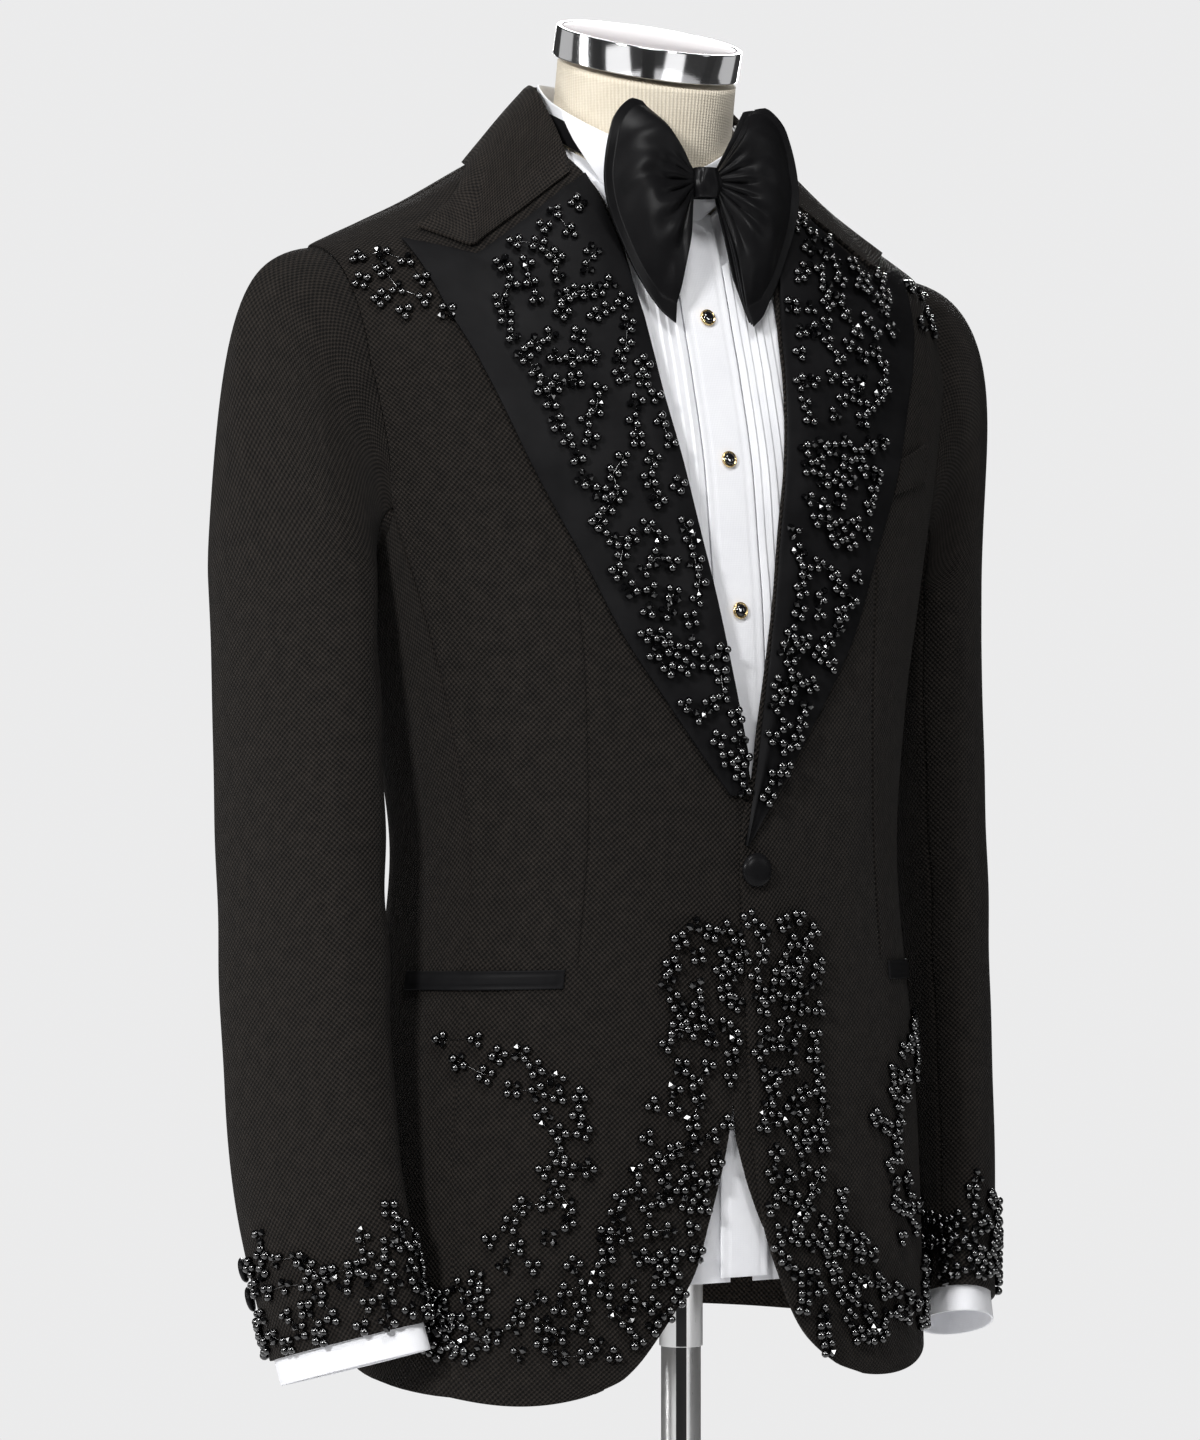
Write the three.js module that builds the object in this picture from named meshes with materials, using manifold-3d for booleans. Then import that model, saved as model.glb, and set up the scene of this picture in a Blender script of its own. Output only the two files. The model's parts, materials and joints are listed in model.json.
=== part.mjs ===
// A tuxedo on a limbless dress form and stand: jacket, shirt and bow tie as separate cloth walls.
// Millimetres, +Z up, the front faces -Y, the wearer's left is +X. The origin is under the pole, on the floor.
import * as THREE from "three";
import { mergeVertices } from "three/addons/utils/BufferGeometryUtils.js";
import Module from "manifold-3d";

const wasm = await Module();
wasm.setup();

// Driving dimensions
const seamGap = 0.4;
const jacketCloth = 2;
const shirtCloth = 1.2;
const shirtInset = 8;
const formInset = 13;
const squareness = 2.3;
const shoulderZ = 1404;
const ridgeLevel = shoulderZ + 100;
const topLevel = ridgeLevel - 0.6;
const overlapLift = 2.6;
const lapelLift = 0.8;
const neckRadius = 54;
const neckTop = 1586;
const capRadius = 56;
const capHeight = 18;
const capTilt = 17;
const poleRadius = 12.9;
const poleBore = 12.15;
const poleLow = 829;
const poleTop = 1215;
const postRadius = 11.8;
const postTop = 1090;
const baseRadius = 180;
const baseThickness = 8;
const buttonRadius = 10;
const cuffButtonRadius = 7.5;
const studRadius = 5;

// Level sections of the body: half width, middle, and depth to the front and the back
const bodySections = [
  { z: 800, halfWidth: 181, centreY: 43, front: 119, back: 132 },
  { z: 984, halfWidth: 173, centreY: 43, front: 119, back: 127 },
  { z: 1115, halfWidth: 158, centreY: 43, front: 121, back: 108 },
  { z: 1200, halfWidth: 167, centreY: 48, front: 122, back: 112 },
  { z: 1262, halfWidth: 180, centreY: 52, front: 122, back: 117 },
  { z: 1300, halfWidth: 189.5, centreY: 55, front: 120, back: 118 },
  { z: 1350, halfWidth: 202, centreY: 58, front: 116, back: 118 },
  { z: 1404, halfWidth: 215, centreY: 62, front: 106, back: 111 },
];

// The shoulder line from the neck out, above which there is no cloth
const ridgeSections = [
  { x: 0, z: 1572, y: 60 },
  { x: 40, z: 1563, y: 61 },
  { x: 72, z: 1546, y: 62 },
  { x: 107, z: 1528, y: 64 },
  { x: 150, z: 1504, y: 66 },
  { x: 208, z: 1477, y: 68 },
  { x: 232, z: 1465, y: 69 },
];

// The armhole, by turns from under the arm over the front to the shoulder and down the back
const armhole = [
  { turn: -160, theta: 106, level: 1474 },
  { turn: -140, theta: 110, level: 1440 },
  { turn: -120, theta: 113, level: 1404 },
  { turn: -100, theta: 113.5, level: 1376 },
  { turn: -80, theta: 112.5, level: 1348 },
  { turn: -60, theta: 110, level: 1322 },
  { turn: -30, theta: 101, level: 1299 },
  { turn: 0, theta: 90, level: 1292 },
  { turn: 30, theta: 80, level: 1298 },
  { turn: 60, theta: 72, level: 1320 },
  { turn: 80, theta: 69, level: 1350 },
  { turn: 100, theta: 67.5, level: 1378 },
  { turn: 120, theta: 67, level: 1404 },
  { turn: 140, theta: 69, level: 1440 },
  { turn: 160, theta: 73, level: 1474 },
];
const shoulderTheta = 80.6;
const armTurns = [-60, -30, 0, 30, 60, 80, 100, 120, 140, 160, 180, -160, -140, -120, -100, -80, -60];

// The front edge, roll line and neck of a front, with the cutaway's distance from the middle on each side
const frontRows = [
  { z: 814, left: 86, right: 97, leftHem: 822, rightHem: 811 },
  { z: 822, left: 64, right: 80, leftHem: 832, rightHem: 824 },
  { z: 843, left: 38, right: 61, leftHem: 850, rightHem: 846 },
  { z: 878, left: 19, right: 38, side: 880 },
  { z: 908, left: 8, right: 28, side: 908 },
  { z: 947, left: 2, right: 17, side: 947 },
  { z: 992, left: -2, right: 9, side: 992 },
  { z: 1037, left: -5, right: 2, side: 1037 },
  { z: 1075, left: -7, right: -4, side: 1075 },
  { z: 1112, left: -9, right: -7, side: 1112 },
  { z: 1140, left: -7, right: -6, side: 1140 },
  { z: 1165, left: 0, right: 0, side: 1165 },
  { z: 1190, left: 4, right: 4, side: 1190 },
  { z: 1230, left: 12, right: 12, side: 1232 },
  { z: 1272, left: 20.5, right: 20.5, side: 1276 },
  { z: 1315, left: 29, right: 29, turn: 60 },
  { z: 1352, left: 37, right: 37, turn: 80 },
  { z: 1388, left: 43, right: 43, turn: 100 },
  { z: 1422, left: 46, right: 46, turn: 120 },
  { z: 1462, left: 50, right: 50, turn: 140 },
  { z: 1503, left: 56, right: 56, turn: 160 },
  { z: 1546, left: 72, right: 72, turn: 180 },
];
const backRows = [
  { level: 835 },
  { level: 880 },
  { level: 925 },
  { level: 970 },
  { level: 1015 },
  { level: 1060 },
  { level: 1105 },
  { level: 1150 },
  { level: 1195 },
  { level: 1240 },
  { level: 1282 },
  { level: 1322, turn: -60 },
  { level: 1348, turn: -80 },
  { level: 1376, turn: -100 },
  { level: 1404, turn: -120 },
  { level: 1440, turn: -140 },
  { level: 1474, turn: -160 },
  { level: topLevel, turn: -180 },
];
const hems = {
  left: { side: 822, backSide: 829, back: 836 },
  right: { side: 811, backSide: 824, back: 836 },
};
const sideSeams = [
  { level: 800, front: 64, back: 117 },
  { level: 1000, front: 66, back: 116 },
  { level: 1200, front: 69, back: 112.5 },
  { level: 1322, front: 72, back: 110 },
];
const backNeck = [
  { x: 0, level: 1466 },
  { x: 36, level: 1471 },
  { x: 70, level: ridgeLevel },
  { x: 230, level: ridgeLevel },
];

// The lapel between its roll line and its outer edge
const lapelRows = [
  { z: 1126, roll: -8, edge: -5.5 },
  { z: 1150, roll: -3, edge: 11 },
  { z: 1175, roll: 2, edge: 30 },
  { z: 1208, roll: 8, edge: 53 },
  { z: 1246, roll: 15.5, edge: 78 },
  { z: 1294, roll: 25, edge: 101 },
  { z: 1341, roll: 34.5, edge: 124 },
  { z: 1390, roll: 43, edge: 143 },
  { z: 1433, roll: 47.5, edge: 161 },
];
const gorge = { rollX: 62, rollZ: 1518, x: 138, z: 1467, share: 0.62 };
const lapelTip = { x: 172, z: 1476 };

// The collar from the gorge round to the middle of the back: foot of the stand, crest, and edge of the fall
const collarRows = [
  { turn: 0, footX: 65, footY: 20, footZ: 1518, x: 66, y: 17, z: 1523, edgeX: 161, edgeZ: 1483, lift: 3.2 },
  { turn: 0.18, footX: 67, footY: 36, footZ: 1537, x: 66.5, y: 34, z: 1548, edgeX: 137, edgeZ: 1500, lift: 3.2 },
  { turn: 0.4, footX: 71.5, footY: 61, footZ: 1548, x: 66, y: 58, z: 1573, edgeX: 108, edgeZ: 1527, lift: 3 },
  { turn: 0.7, footX: 39, footY: 117.5, footZ: 1546.2, x: 45, y: 100, z: 1581, edgeX: 74, edgeZ: 1530, lift: 3 },
  { turn: 1, footX: 0, footY: 122.5, footZ: 1545.8, x: 0, y: 118, z: 1582, edgeX: 0, edgeZ: 1532, lift: 3 },
];

// Rings of the sleeve down the arm: middle, half sizes along and across, and turn towards the front
const sleeveRings = [
  { z: 1280, x: 224, y: 68, along: 60, across: 32, turn: 20, pitch: 0 },
  { z: 1244, x: 223, y: 67, along: 59.5, across: 32, turn: 20, pitch: 1 },
  { z: 1176, x: 223, y: 63, along: 59, across: 31, turn: 21, pitch: 3 },
  { z: 1096, x: 223, y: 57, along: 58.5, across: 30, turn: 22, pitch: 6 },
  { z: 1012, x: 223, y: 50, along: 58, across: 29, turn: 24, pitch: 9 },
  { z: 928, x: 221, y: 40, along: 57, across: 28, turn: 25, pitch: 12 },
  { z: 842, x: 211, y: 22, along: 52, across: 26, turn: 28, pitch: 16 },
];

// The shirt: collar band by turns from the front, and the front's rows up to the neck
const shirtArmRise = 12;
const trimLift = 1.15;
const bandRadius = 60;
const neckCentreY = 50;
const bandRows = [
  { turn: 0, low: 1491, high: 1521 },
  { turn: 46, low: 1522, high: 1543 },
  { turn: 73, low: 1541, high: 1557 },
  { turn: 90, low: 1546, high: 1566 },
  { turn: 120, low: 1550, high: 1580 },
  { turn: 180, low: 1552, high: 1584 },
];
const shirtRows = [
  { x: 8, z: 873, side: 873 },
  { x: 8, z: 960, side: 960 },
  { x: 8, z: 1050, side: 1050 },
  { x: 8, z: 1140, side: 1140 },
  { x: 8, z: 1220, side: 1220 },
  { x: 8, z: 1280, turn: 0 },
  { x: 8, z: 1320, turn: 30 },
  { x: 8, z: 1355, turn: 60 },
  { x: 8, z: 1388, turn: 80 },
  { x: 8, z: 1418, turn: 100 },
  { x: 8, z: 1450, turn: 120 },
  { x: 14, z: 1484, turn: 140 },
  { x: 43, z: 1513, turn: 160 },
  { x: 64, z: 1544, turn: 180 },
];
const shirtBackLevels = [
  { level: 873 },
  { level: 990 },
  { level: 1115 },
  { level: 1220 },
  { level: 1292, turn: 0 },
  { level: 1299, turn: -30 },
  { level: 1322, turn: -60 },
  { level: 1348, turn: -80 },
  { level: 1376, turn: -100 },
  { level: 1404, turn: -120 },
  { level: 1440, turn: -140 },
  { level: 1474, turn: -160 },
  { level: topLevel, turn: -180 },
];
const studPlaces = [
  { name: "top", z: 1434 },
  { name: "middle", z: 1350 },
  { name: "bottom", z: 1262 },
];

// The bow tie: outer edge of a wing from its low tip to its high tip, from the knot's centre
const knotCentre = { y: -24, z: 1514 };
const wingEdge = [
  { share: 0, x: 27, y: -6, z: -84 },
  { share: 0.3, x: 52, y: 0, z: -48 },
  { share: 0.6, x: 67, y: 4, z: -6 },
  { share: 0.85, x: 60, y: 7, z: 32 },
  { share: 1, x: 43, y: 9, z: 48 },
];

const colours = {
  jacket: { color: 0x1b1815, roughness: 0.85, metalness: 0 },
  satin: { color: 0x0a0a0b, roughness: 0.35, metalness: 0 },
  shirt: { color: 0xf1f2f5, roughness: 0.8, metalness: 0 },
  stud: { color: 0x060607, roughness: 0.15, metalness: 0 },
  gold: { color: 0xc9a24e, roughness: 0.25, metalness: 1 },
  jersey: { color: 0xe9dcc0, roughness: 0.9, metalness: 0 },
  chrome: { color: 0xc8c8ca, roughness: 0.15, metalness: 1 },
  steel: { color: 0x9a9da1, roughness: 0.3, metalness: 1 },
};

const part = new THREE.Group();
const { degToRad, radToDeg, lerp, clamp, smoothstep } = THREE.MathUtils;

// A row of a table at any key, on a smooth curve through its rows
function rowAt(rows, key, at) {
  const last = rows.length - 1;
  const place = clamp(at, rows[0][key], rows[last][key]);
  let i = 0;
  while (i < last - 1 && place > rows[i + 1][key]) i += 1;
  const [a, b] = [rows[i], rows[i + 1]];
  const [before, after] = [rows[Math.max(i - 1, 0)], rows[Math.min(i + 2, last)]];
  const span = b[key] - a[key];
  const t = (place - a[key]) / span;
  const row = {};
  for (const name of Object.keys(a)) {
    const slopeA = ((b[name] - before[name]) / (b[key] - before[key])) * span;
    const slopeB = ((after[name] - a[name]) / (after[key] - a[key])) * span;
    const rise = b[name] - a[name];
    const bend = (slopeA - rise) * (1 - t) - (slopeB - rise) * t;
    row[name] = lerp(a[name], b[name], t) + t * (1 - t) * bend;
  }
  return row;
}

// A point of the body's outer cloth: theta turns from the front to the back, level rises to the shoulder line
function body(theta, level, inset = 0) {
  const low = rowAt(bodySections, "z", Math.min(level, shoulderZ));
  const angle = degToRad(theta);
  const across = Math.sign(Math.sin(angle)) * Math.abs(Math.sin(angle)) ** (2 / squareness);
  const depth = Math.abs(Math.cos(angle)) ** (2 / squareness);
  const atFront = Math.cos(angle) > 0;
  const x = across * (low.halfWidth - inset);
  const y = low.centreY + depth * (atFront ? inset - low.front : low.back - inset);
  if (level <= shoulderZ) return new THREE.Vector3(x, y, level);
  const top = rowAt(ridgeSections, "x", Math.abs(x));
  const rise = Math.sin(((level - shoulderZ) / 100) * (Math.PI / 2));
  const height = (top.z - inset - shoulderZ) * rise;
  const roundness = atFront ? 1.7 : 2.1;
  const lean = (atFront ? 0.3 : -0.15) * depth * height * (1 - rise) ** 2;
  const closing = (1 - rise ** roundness) ** (1 / roundness);
  return new THREE.Vector3(x, top.y + (y - top.y) * closing + lean, shoulderZ + height);
}

function bodyNormal(theta, level) {
  const high = Math.min(level + 0.6, topLevel);
  const up = body(theta, high).sub(body(theta, high - 1.2));
  return body(theta + 0.3, level)
    .sub(body(theta - 0.3, level))
    .cross(up)
    .normalize();
}

// The body's own coordinates of a place given by its distance from the middle and its height
function placeAt(x, z, atBack = false) {
  const low = rowAt(bodySections, "z", Math.min(z, shoulderZ));
  const share = clamp(Math.abs(x) / low.halfWidth, 0, 1) ** (squareness / 2);
  const turn = radToDeg(Math.asin(share));
  const theta = Math.sign(x || 1) * (atBack ? 180 - turn : turn);
  if (z <= shoulderZ) return { theta, level: z };
  const top = rowAt(ridgeSections, "x", Math.abs(x)).z;
  const rise = clamp((z - shoulderZ) / (top - shoulderZ), 0, 1);
  return { theta, level: shoulderZ + (radToDeg(Math.asin(rise)) / 90) * 100 };
}

function onBody(place, lift) {
  return body(place.theta, place.level).addScaledVector(bodyNormal(place.theta, place.level), lift);
}

function frontPoint(x, z, lift) {
  return onBody(placeAt(x, z), lift);
}

// The armhole at a turn; at 180 it meets the shoulder line
function armholePlace(turn) {
  if (turn >= 180) return { theta: shoulderTheta, level: topLevel };
  if (turn <= -180) return { theta: 180 - shoulderTheta, level: topLevel };
  const row = armhole.find((entry) => entry.turn === turn);
  return { theta: row.theta, level: row.level };
}

function gridOf(rows, columns, pointAt) {
  const grid = [];
  for (let v = 0; v <= rows; v += 1) {
    const line = [];
    for (let u = 0; u <= columns; u += 1) line.push(pointAt(u / columns, v / rows, u, v));
    grid.push(line);
  }
  return grid;
}

// A closed geometry from indexed faces, turned so that its faces point outwards
function closedGeometry(points, faces) {
  let volume = 0;
  for (const [a, b, c] of faces) volume += points[a].dot(points[b].clone().cross(points[c]));
  const index = volume < 0 ? faces.map(([a, b, c]) => [a, c, b]) : faces;
  return new THREE.BufferGeometry().setFromPoints(points).setIndex(index.flat());
}

// A wall between two grids of points, open at its edges or closed round on itself
function wall(outer, inner, round = false) {
  const rows = outer.length;
  const columns = outer[0].length;
  const points = [...outer.flat(), ...inner.flat()];
  const half = rows * columns;
  const at = (v, u, side) => side * half + v * columns + (u % columns);
  const faces = [];
  const quad = (a, b, c, d) => faces.push([a, b, c], [a, c, d]);
  const spans = round ? columns : columns - 1;
  for (let v = 0; v < rows - 1; v += 1) {
    for (let u = 0; u < spans; u += 1) {
      quad(at(v, u, 0), at(v, u + 1, 0), at(v + 1, u + 1, 0), at(v + 1, u, 0));
      quad(at(v, u, 1), at(v + 1, u, 1), at(v + 1, u + 1, 1), at(v, u + 1, 1));
    }
  }
  for (let u = 0; u < spans; u += 1) {
    quad(at(0, u, 0), at(0, u, 1), at(0, u + 1, 1), at(0, u + 1, 0));
    quad(at(rows - 1, u, 0), at(rows - 1, u + 1, 0), at(rows - 1, u + 1, 1), at(rows - 1, u, 1));
  }
  for (let v = 0; v < rows - 1 && !round; v += 1) {
    quad(at(v, 0, 0), at(v + 1, 0, 0), at(v + 1, 0, 1), at(v, 0, 1));
    quad(at(v, columns - 1, 0), at(v, columns - 1, 1), at(v + 1, columns - 1, 1), at(v + 1, columns - 1, 0));
  }
  return closedGeometry(points, faces);
}

// The wall of a grid of body places, with its lift over the body at each of them
function panel(places, thickness, liftAt = () => 0) {
  const layer = (depth) =>
    places.map((line, v) => line.map((place, u) => onBody(place, liftAt(u, v, place) - depth)));
  return wall(layer(0), layer(thickness));
}

// A sheet given by a function of two shares, thickened to one side along its normals
function sheet(rows, columns, pointAt, thickness, round = false) {
  const step = 0.004;
  const layer = (depth) =>
    gridOf(rows, round ? columns - 1 : columns, (u, v, i) => {
      const across = round ? i / columns : u;
      const [left, right] = [Math.max(across - step, round ? -1 : 0), Math.min(across + step, round ? 2 : 1)];
      const [low, high] = [Math.max(v - step, 0), Math.min(v + step, 1)];
      const along = pointAt(right, v).sub(pointAt(left, v));
      const up = pointAt(across, high).sub(pointAt(across, low));
      return pointAt(across, v).addScaledVector(along.cross(up).normalize(), -depth);
    });
  return wall(layer(0), layer(thickness), round);
}

function mirrored(geometry) {
  const other = geometry.clone().scale(-1, 1, 1);
  const index = Array.from(other.index.array);
  for (let i = 0; i < index.length; i += 3) [index[i + 1], index[i + 2]] = [index[i + 2], index[i + 1]];
  return other.setIndex(index);
}

function add(name, geometry, finish, parent = part) {
  const mesh = new THREE.Mesh(geometry, new THREE.MeshStandardMaterial(colours[finish]));
  mesh.name = name;
  parent.add(mesh);
  return mesh;
}

function addPair(name, geometry, finish) {
  add(name + "_left", geometry, finish);
  add(name + "_right", mirrored(geometry), finish);
}

const seamTurn = radToDeg(seamGap / 2 / 150);

// How far a change at the hem still moves the cloth at a height above it
function lowShare(level) {
  return 1 - smoothstep(level, 835, 1040);
}

// Jacket fronts: the left one laps over the right one at the button
function frontLift(side, x) {
  return side === "left" ? overlapLift * (1 - smoothstep(x, 6, 44)) : 0;
}

function jacketFront(side) {
  const columns = 9;
  const places = frontRows.map((row) => {
    const edge = row[side];
    const height = Math.min(row.z, rowAt(ridgeSections, "x", edge).z - 0.01);
    const seam = row.turn
      ? armholePlace(row.turn)
      : { theta: rowAt(sideSeams, "level", row[side + "Hem"] ?? row.side).front, level: row[side + "Hem"] ?? row.side };
    const stops = [edge, Math.max(edge + 8, 12), Math.max(edge + 20, 28)].map((x) => placeAt(x, height));
    const start = Math.min(stops[0].level, topLevel);
    const thetas = stops.map((stop) => stop.theta);
    for (let i = 1; i <= columns; i += 1) thetas.push(lerp(thetas[2], seam.theta - seamTurn, i / columns));
    return thetas.map((theta) => {
      const share = (theta - thetas[0]) / (seam.theta - thetas[0]);
      const flat = row.z < 860 ? share ** 1.7 : share;
      return { theta, level: lerp(start, seam.level, flat) };
    });
  });
  return panel(places, jacketCloth, (u, v, place) => frontLift(side, body(place.theta, place.level).x));
}

// The side panel under the arm, on its own hem heights at the front and back seams
function jacketSide(hem) {
  const turns = [60, 30, 0, -30, -60];
  const places = gridOf(11, turns.length - 1, (share, rise, i) => {
    const top = armholePlace(turns[i]);
    const level = lerp(lerp(hem.side, hem.backSide, share), top.level, rise);
    const seams = rowAt(sideSeams, "level", level);
    const even = lerp(seams.front + seamTurn, seams.back - seamTurn, share);
    const above = clamp(top.theta, armholePlace(60).theta + seamTurn, armholePlace(-60).theta - seamTurn);
    return { theta: lerp(even, above, rise ** 2), level };
  });
  return panel(places, jacketCloth);
}

function jacketBack(hem) {
  const columns = 10;
  const middle = 180 - 0.03;
  const places = backRows.map((row) => {
    const seam = row.turn ? armholePlace(row.turn) : { theta: rowAt(sideSeams, "level", row.level).back };
    return Array.from({ length: columns + 1 }, (_, i) => {
      const theta = lerp(middle, seam.theta + seamTurn, (i / columns) ** 1.35);
      const x = body(theta, Math.min(row.level, shoulderZ)).x;
      const cut = (rowAt(backNeck, "x", x).level - shoulderZ) / 100;
      const above = Math.max(row.level - shoulderZ, 0);
      const drop = (lerp(hem.back, hem.backSide, i / columns) - backRows[0].level) * lowShare(row.level);
      return { theta, level: Math.min(row.level, shoulderZ) + above * Math.min(cut, 1) + drop };
    });
  });
  return panel(places, jacketCloth);
}

// Lapels: the front's own points, moved out, from the roll line to the outer edge
function lapelPlace(share, rise) {
  const split = 0.8;
  const last = lapelRows[lapelRows.length - 1];
  if (rise <= split) {
    const row = rowAt(lapelRows, "z", lerp(lapelRows[0].z, last.z, rise / split));
    return { x: lerp(row.roll, row.edge, share), z: row.z };
  }
  const below = { x: lerp(last.roll, last.edge, share), z: last.z };
  const inGorge = share < gorge.share;
  const t = inGorge ? share / gorge.share : (share - gorge.share) / (1 - gorge.share);
  const above = inGorge
    ? { x: lerp(gorge.rollX, gorge.x, t), z: lerp(gorge.rollZ, gorge.z, t) }
    : { x: lerp(gorge.x, lapelTip.x, t), z: lerp(gorge.z, lapelTip.z, t) };
  const t2 = (rise - split) / (1 - split);
  return { x: lerp(below.x, above.x, t2), z: lerp(below.z, above.z, t2) };
}

function lapel(side) {
  const start = side === "left" ? 0 : 0.075;
  const puffAt = (share) => 1.6 * Math.exp(-(((share - 0.14) / 0.12) ** 2));
  const layer = (depth) =>
    gridOf(16, 8, (share, v) => {
      const place = lapelPlace(share, lerp(start, 1, v));
      const under = side === "right" && place.z < 1180 ? clamp((1180 - place.z) / 3, 0, 9) : 0;
      const x = Math.max(place.x, under + share * 2);
      const lift = frontLift(side, x) + lapelLift + jacketCloth - depth + puffAt(share) * (depth ? 0.8 : 1);
      return frontPoint(side === "left" ? place.x : x, place.z, lift);
    });
  return wall(layer(0), layer(jacketCloth));
}

// The collar: a folded wall, standing inside to its crest and falling outside to its edge
function collarLine(turn) {
  const row = rowAt(collarRows, "turn", turn);
  const crest = new THREE.Vector3(row.x, row.y, row.z);
  const foot = new THREE.Vector3(row.footX, row.footY, row.footZ);
  const atBack = turn > 0.4;
  const top = rowAt(ridgeSections, "x", row.edgeX).z - 0.5;
  const edge = onBody(placeAt(row.edgeX, Math.min(row.edgeZ, top), atBack), row.lift);
  const corner = frontPoint(gorge.x + 1, gorge.z + 4, 3.4);
  const front = 1 - smoothstep(turn, 0, 0.3);
  const line = [foot, foot.clone().lerp(crest, 0.5), crest.clone().lerp(foot, 0.08)];
  for (let i = 0; i <= 5; i += 1) {
    const t = i / 5;
    const bent = t < 0.7 ? crest.clone().lerp(corner, t / 0.7) : corner.clone().lerp(edge, (t - 0.7) / 0.3);
    const point = crest.clone().lerp(edge, t).lerp(bent, front);
    if (!atBack && i > 0) point.y = Math.min(point.y, frontPoint(point.x, point.z, 3.4).y);
    line.push(point);
  }
  return line;
}

const collarTurns = 12;
const collarColumns = 2 * collarTurns;

function jacketCollar() {
  const lines = [];
  for (let i = -collarTurns; i <= collarTurns; i += 1) {
    const line = collarLine(1 - Math.abs(i) / collarTurns);
    lines.push(i < 0 ? line.map((p) => new THREE.Vector3(-p.x, p.y, p.z)) : line);
  }
  const normalAt = (v, u) => {
    const along = lines[Math.min(v + 1, collarColumns)][u].clone().sub(lines[Math.max(v - 1, 0)][u]);
    const down = lines[v][Math.min(u + 1, 8)].clone().sub(lines[v][Math.max(u - 1, 0)]);
    return along.cross(down).normalize();
  };
  const outer = lines.map((line, v) => line.map((p, u) => p.clone().addScaledVector(normalAt(v, u), 1)));
  const inner = lines.map((line, v) => line.map((p, u) => p.clone().addScaledVector(normalAt(v, u), -1)));
  return wall(outer, inner);
}

// Sleeves: from the armhole over the arm's head, then ring by ring to the cuff
function ringPoint(ring, turn, grow = 0) {
  const around = degToRad(turn);
  const facing = degToRad(ring.turn);
  const ahead = (ring.along + grow) * Math.sin(around);
  const outward = -(ring.across + grow) * Math.cos(around);
  return new THREE.Vector3(
    ring.x - ahead * Math.sin(facing) + outward * Math.cos(facing),
    ring.y - ahead * Math.cos(facing) - outward * Math.sin(facing),
    ring.z + ahead * Math.sin(degToRad(ring.pitch)),
  );
}

const sleeveRingsUp = [...sleeveRings].reverse();
function armholeEdge(turn) {
  const place = armholePlace(turn);
  const centre = new THREE.Vector3(198, 58, 1380);
  const here = body(place.theta, place.level);
  const normal = bodyNormal(place.theta, place.level);
  const away = centre.sub(here);
  away.addScaledVector(normal, -away.dot(normal)).normalize();
  return here.addScaledVector(away, 0.8);
}

// The arm's head: from a point of the armhole out and down to the first ring
function sleeveHead(start, turn, share, inset, out, drop) {
  const first = ringPoint(sleeveRings[0], turn, -inset);
  const second = ringPoint(rowAt(sleeveRingsUp, "z", 1262), turn, -inset);
  const reach = start.distanceTo(first);
  const outwards = new THREE.Vector3(1, 0, -0.12).setLength(reach * out);
  const downwards = second.sub(first).setLength(reach * drop);
  const keep = 2 * share ** 3 - 3 * share ** 2 + 1;
  return start
    .clone()
    .multiplyScalar(keep)
    .addScaledVector(outwards, share ** 3 - 2 * share ** 2 + share)
    .addScaledVector(first, 1 - keep)
    .addScaledVector(downwards, share ** 3 - share ** 2);
}

function sleevePoint(turn, down) {
  const head = 0.3;
  const last = sleeveRings[sleeveRings.length - 1].z;
  if (down < head) {
    const outer = Math.max(-Math.cos(degToRad(turn + 20)), 0);
    return sleeveHead(armholeEdge(turn), turn, down / head, 0, lerp(0.7, 1.15, outer), lerp(1.2, 1.5, outer));
  }
  const z = lerp(sleeveRings[0].z, last, (down - head) / (1 - head));
  return ringPoint(rowAt(sleeveRingsUp, "z", z), turn);
}

// The direction round the sleeve and the one out of it
function sleeveFrame(turn, down) {
  const neighbour = (by) => {
    const size = armTurns.length - 1;
    return sleevePoint(armTurns[(armTurns.indexOf(turn) + by + size) % size], down);
  };
  const around = neighbour(1).sub(neighbour(-1)).normalize();
  const up = sleevePoint(turn, Math.max(down - 0.02, 0)).sub(sleevePoint(turn, Math.min(down + 0.02, 1)));
  return { around, normal: around.clone().cross(up).normalize() };
}

function sleevePanel(turns) {
  const points = (depth) =>
    gridOf(14, turns.length - 1, (share, down, i) => {
      const seam = i === 0 ? 0.4 : i === turns.length - 1 ? -0.4 : 0;
      const { around, normal } = sleeveFrame(turns[i], down);
      return sleevePoint(turns[i], down).addScaledVector(around, seam).addScaledVector(normal, -depth);
    });
  return wall(points(0), points(jacketCloth));
}

// What lies on a panel: its points moved out, between two edges given in the body's own places
function strip(rows, columns, placeOf, lift, thickness, puff = () => 0) {
  const layer = (depth) =>
    gridOf(rows, columns, (u, v) => onBody(placeOf(u, v), lift + thickness - depth + (depth ? 0 : puff(u, v))));
  return wall(layer(0), layer(thickness));
}

// Hip pocket welts run back from the front on the level, the breast welt slants up to the arm
function hipWelt() {
  const level = 1045;
  const start = placeAt(112, level).theta;
  return strip(2, 10, (u, v) => ({ theta: start + 48 * u, level: level + 11 * v - 3 * u }), 0.4, 1.4);
}

function breastWelt() {
  return strip(
    3,
    5,
    (u, v) => {
      const z = lerp(1333, 1344, u) + 22 * v;
      return placeAt(lerp(rowAt(lapelRows, "z", z).edge + 2, 160, u), z);
    },
    0.4,
    1.4,
  );
}

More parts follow.
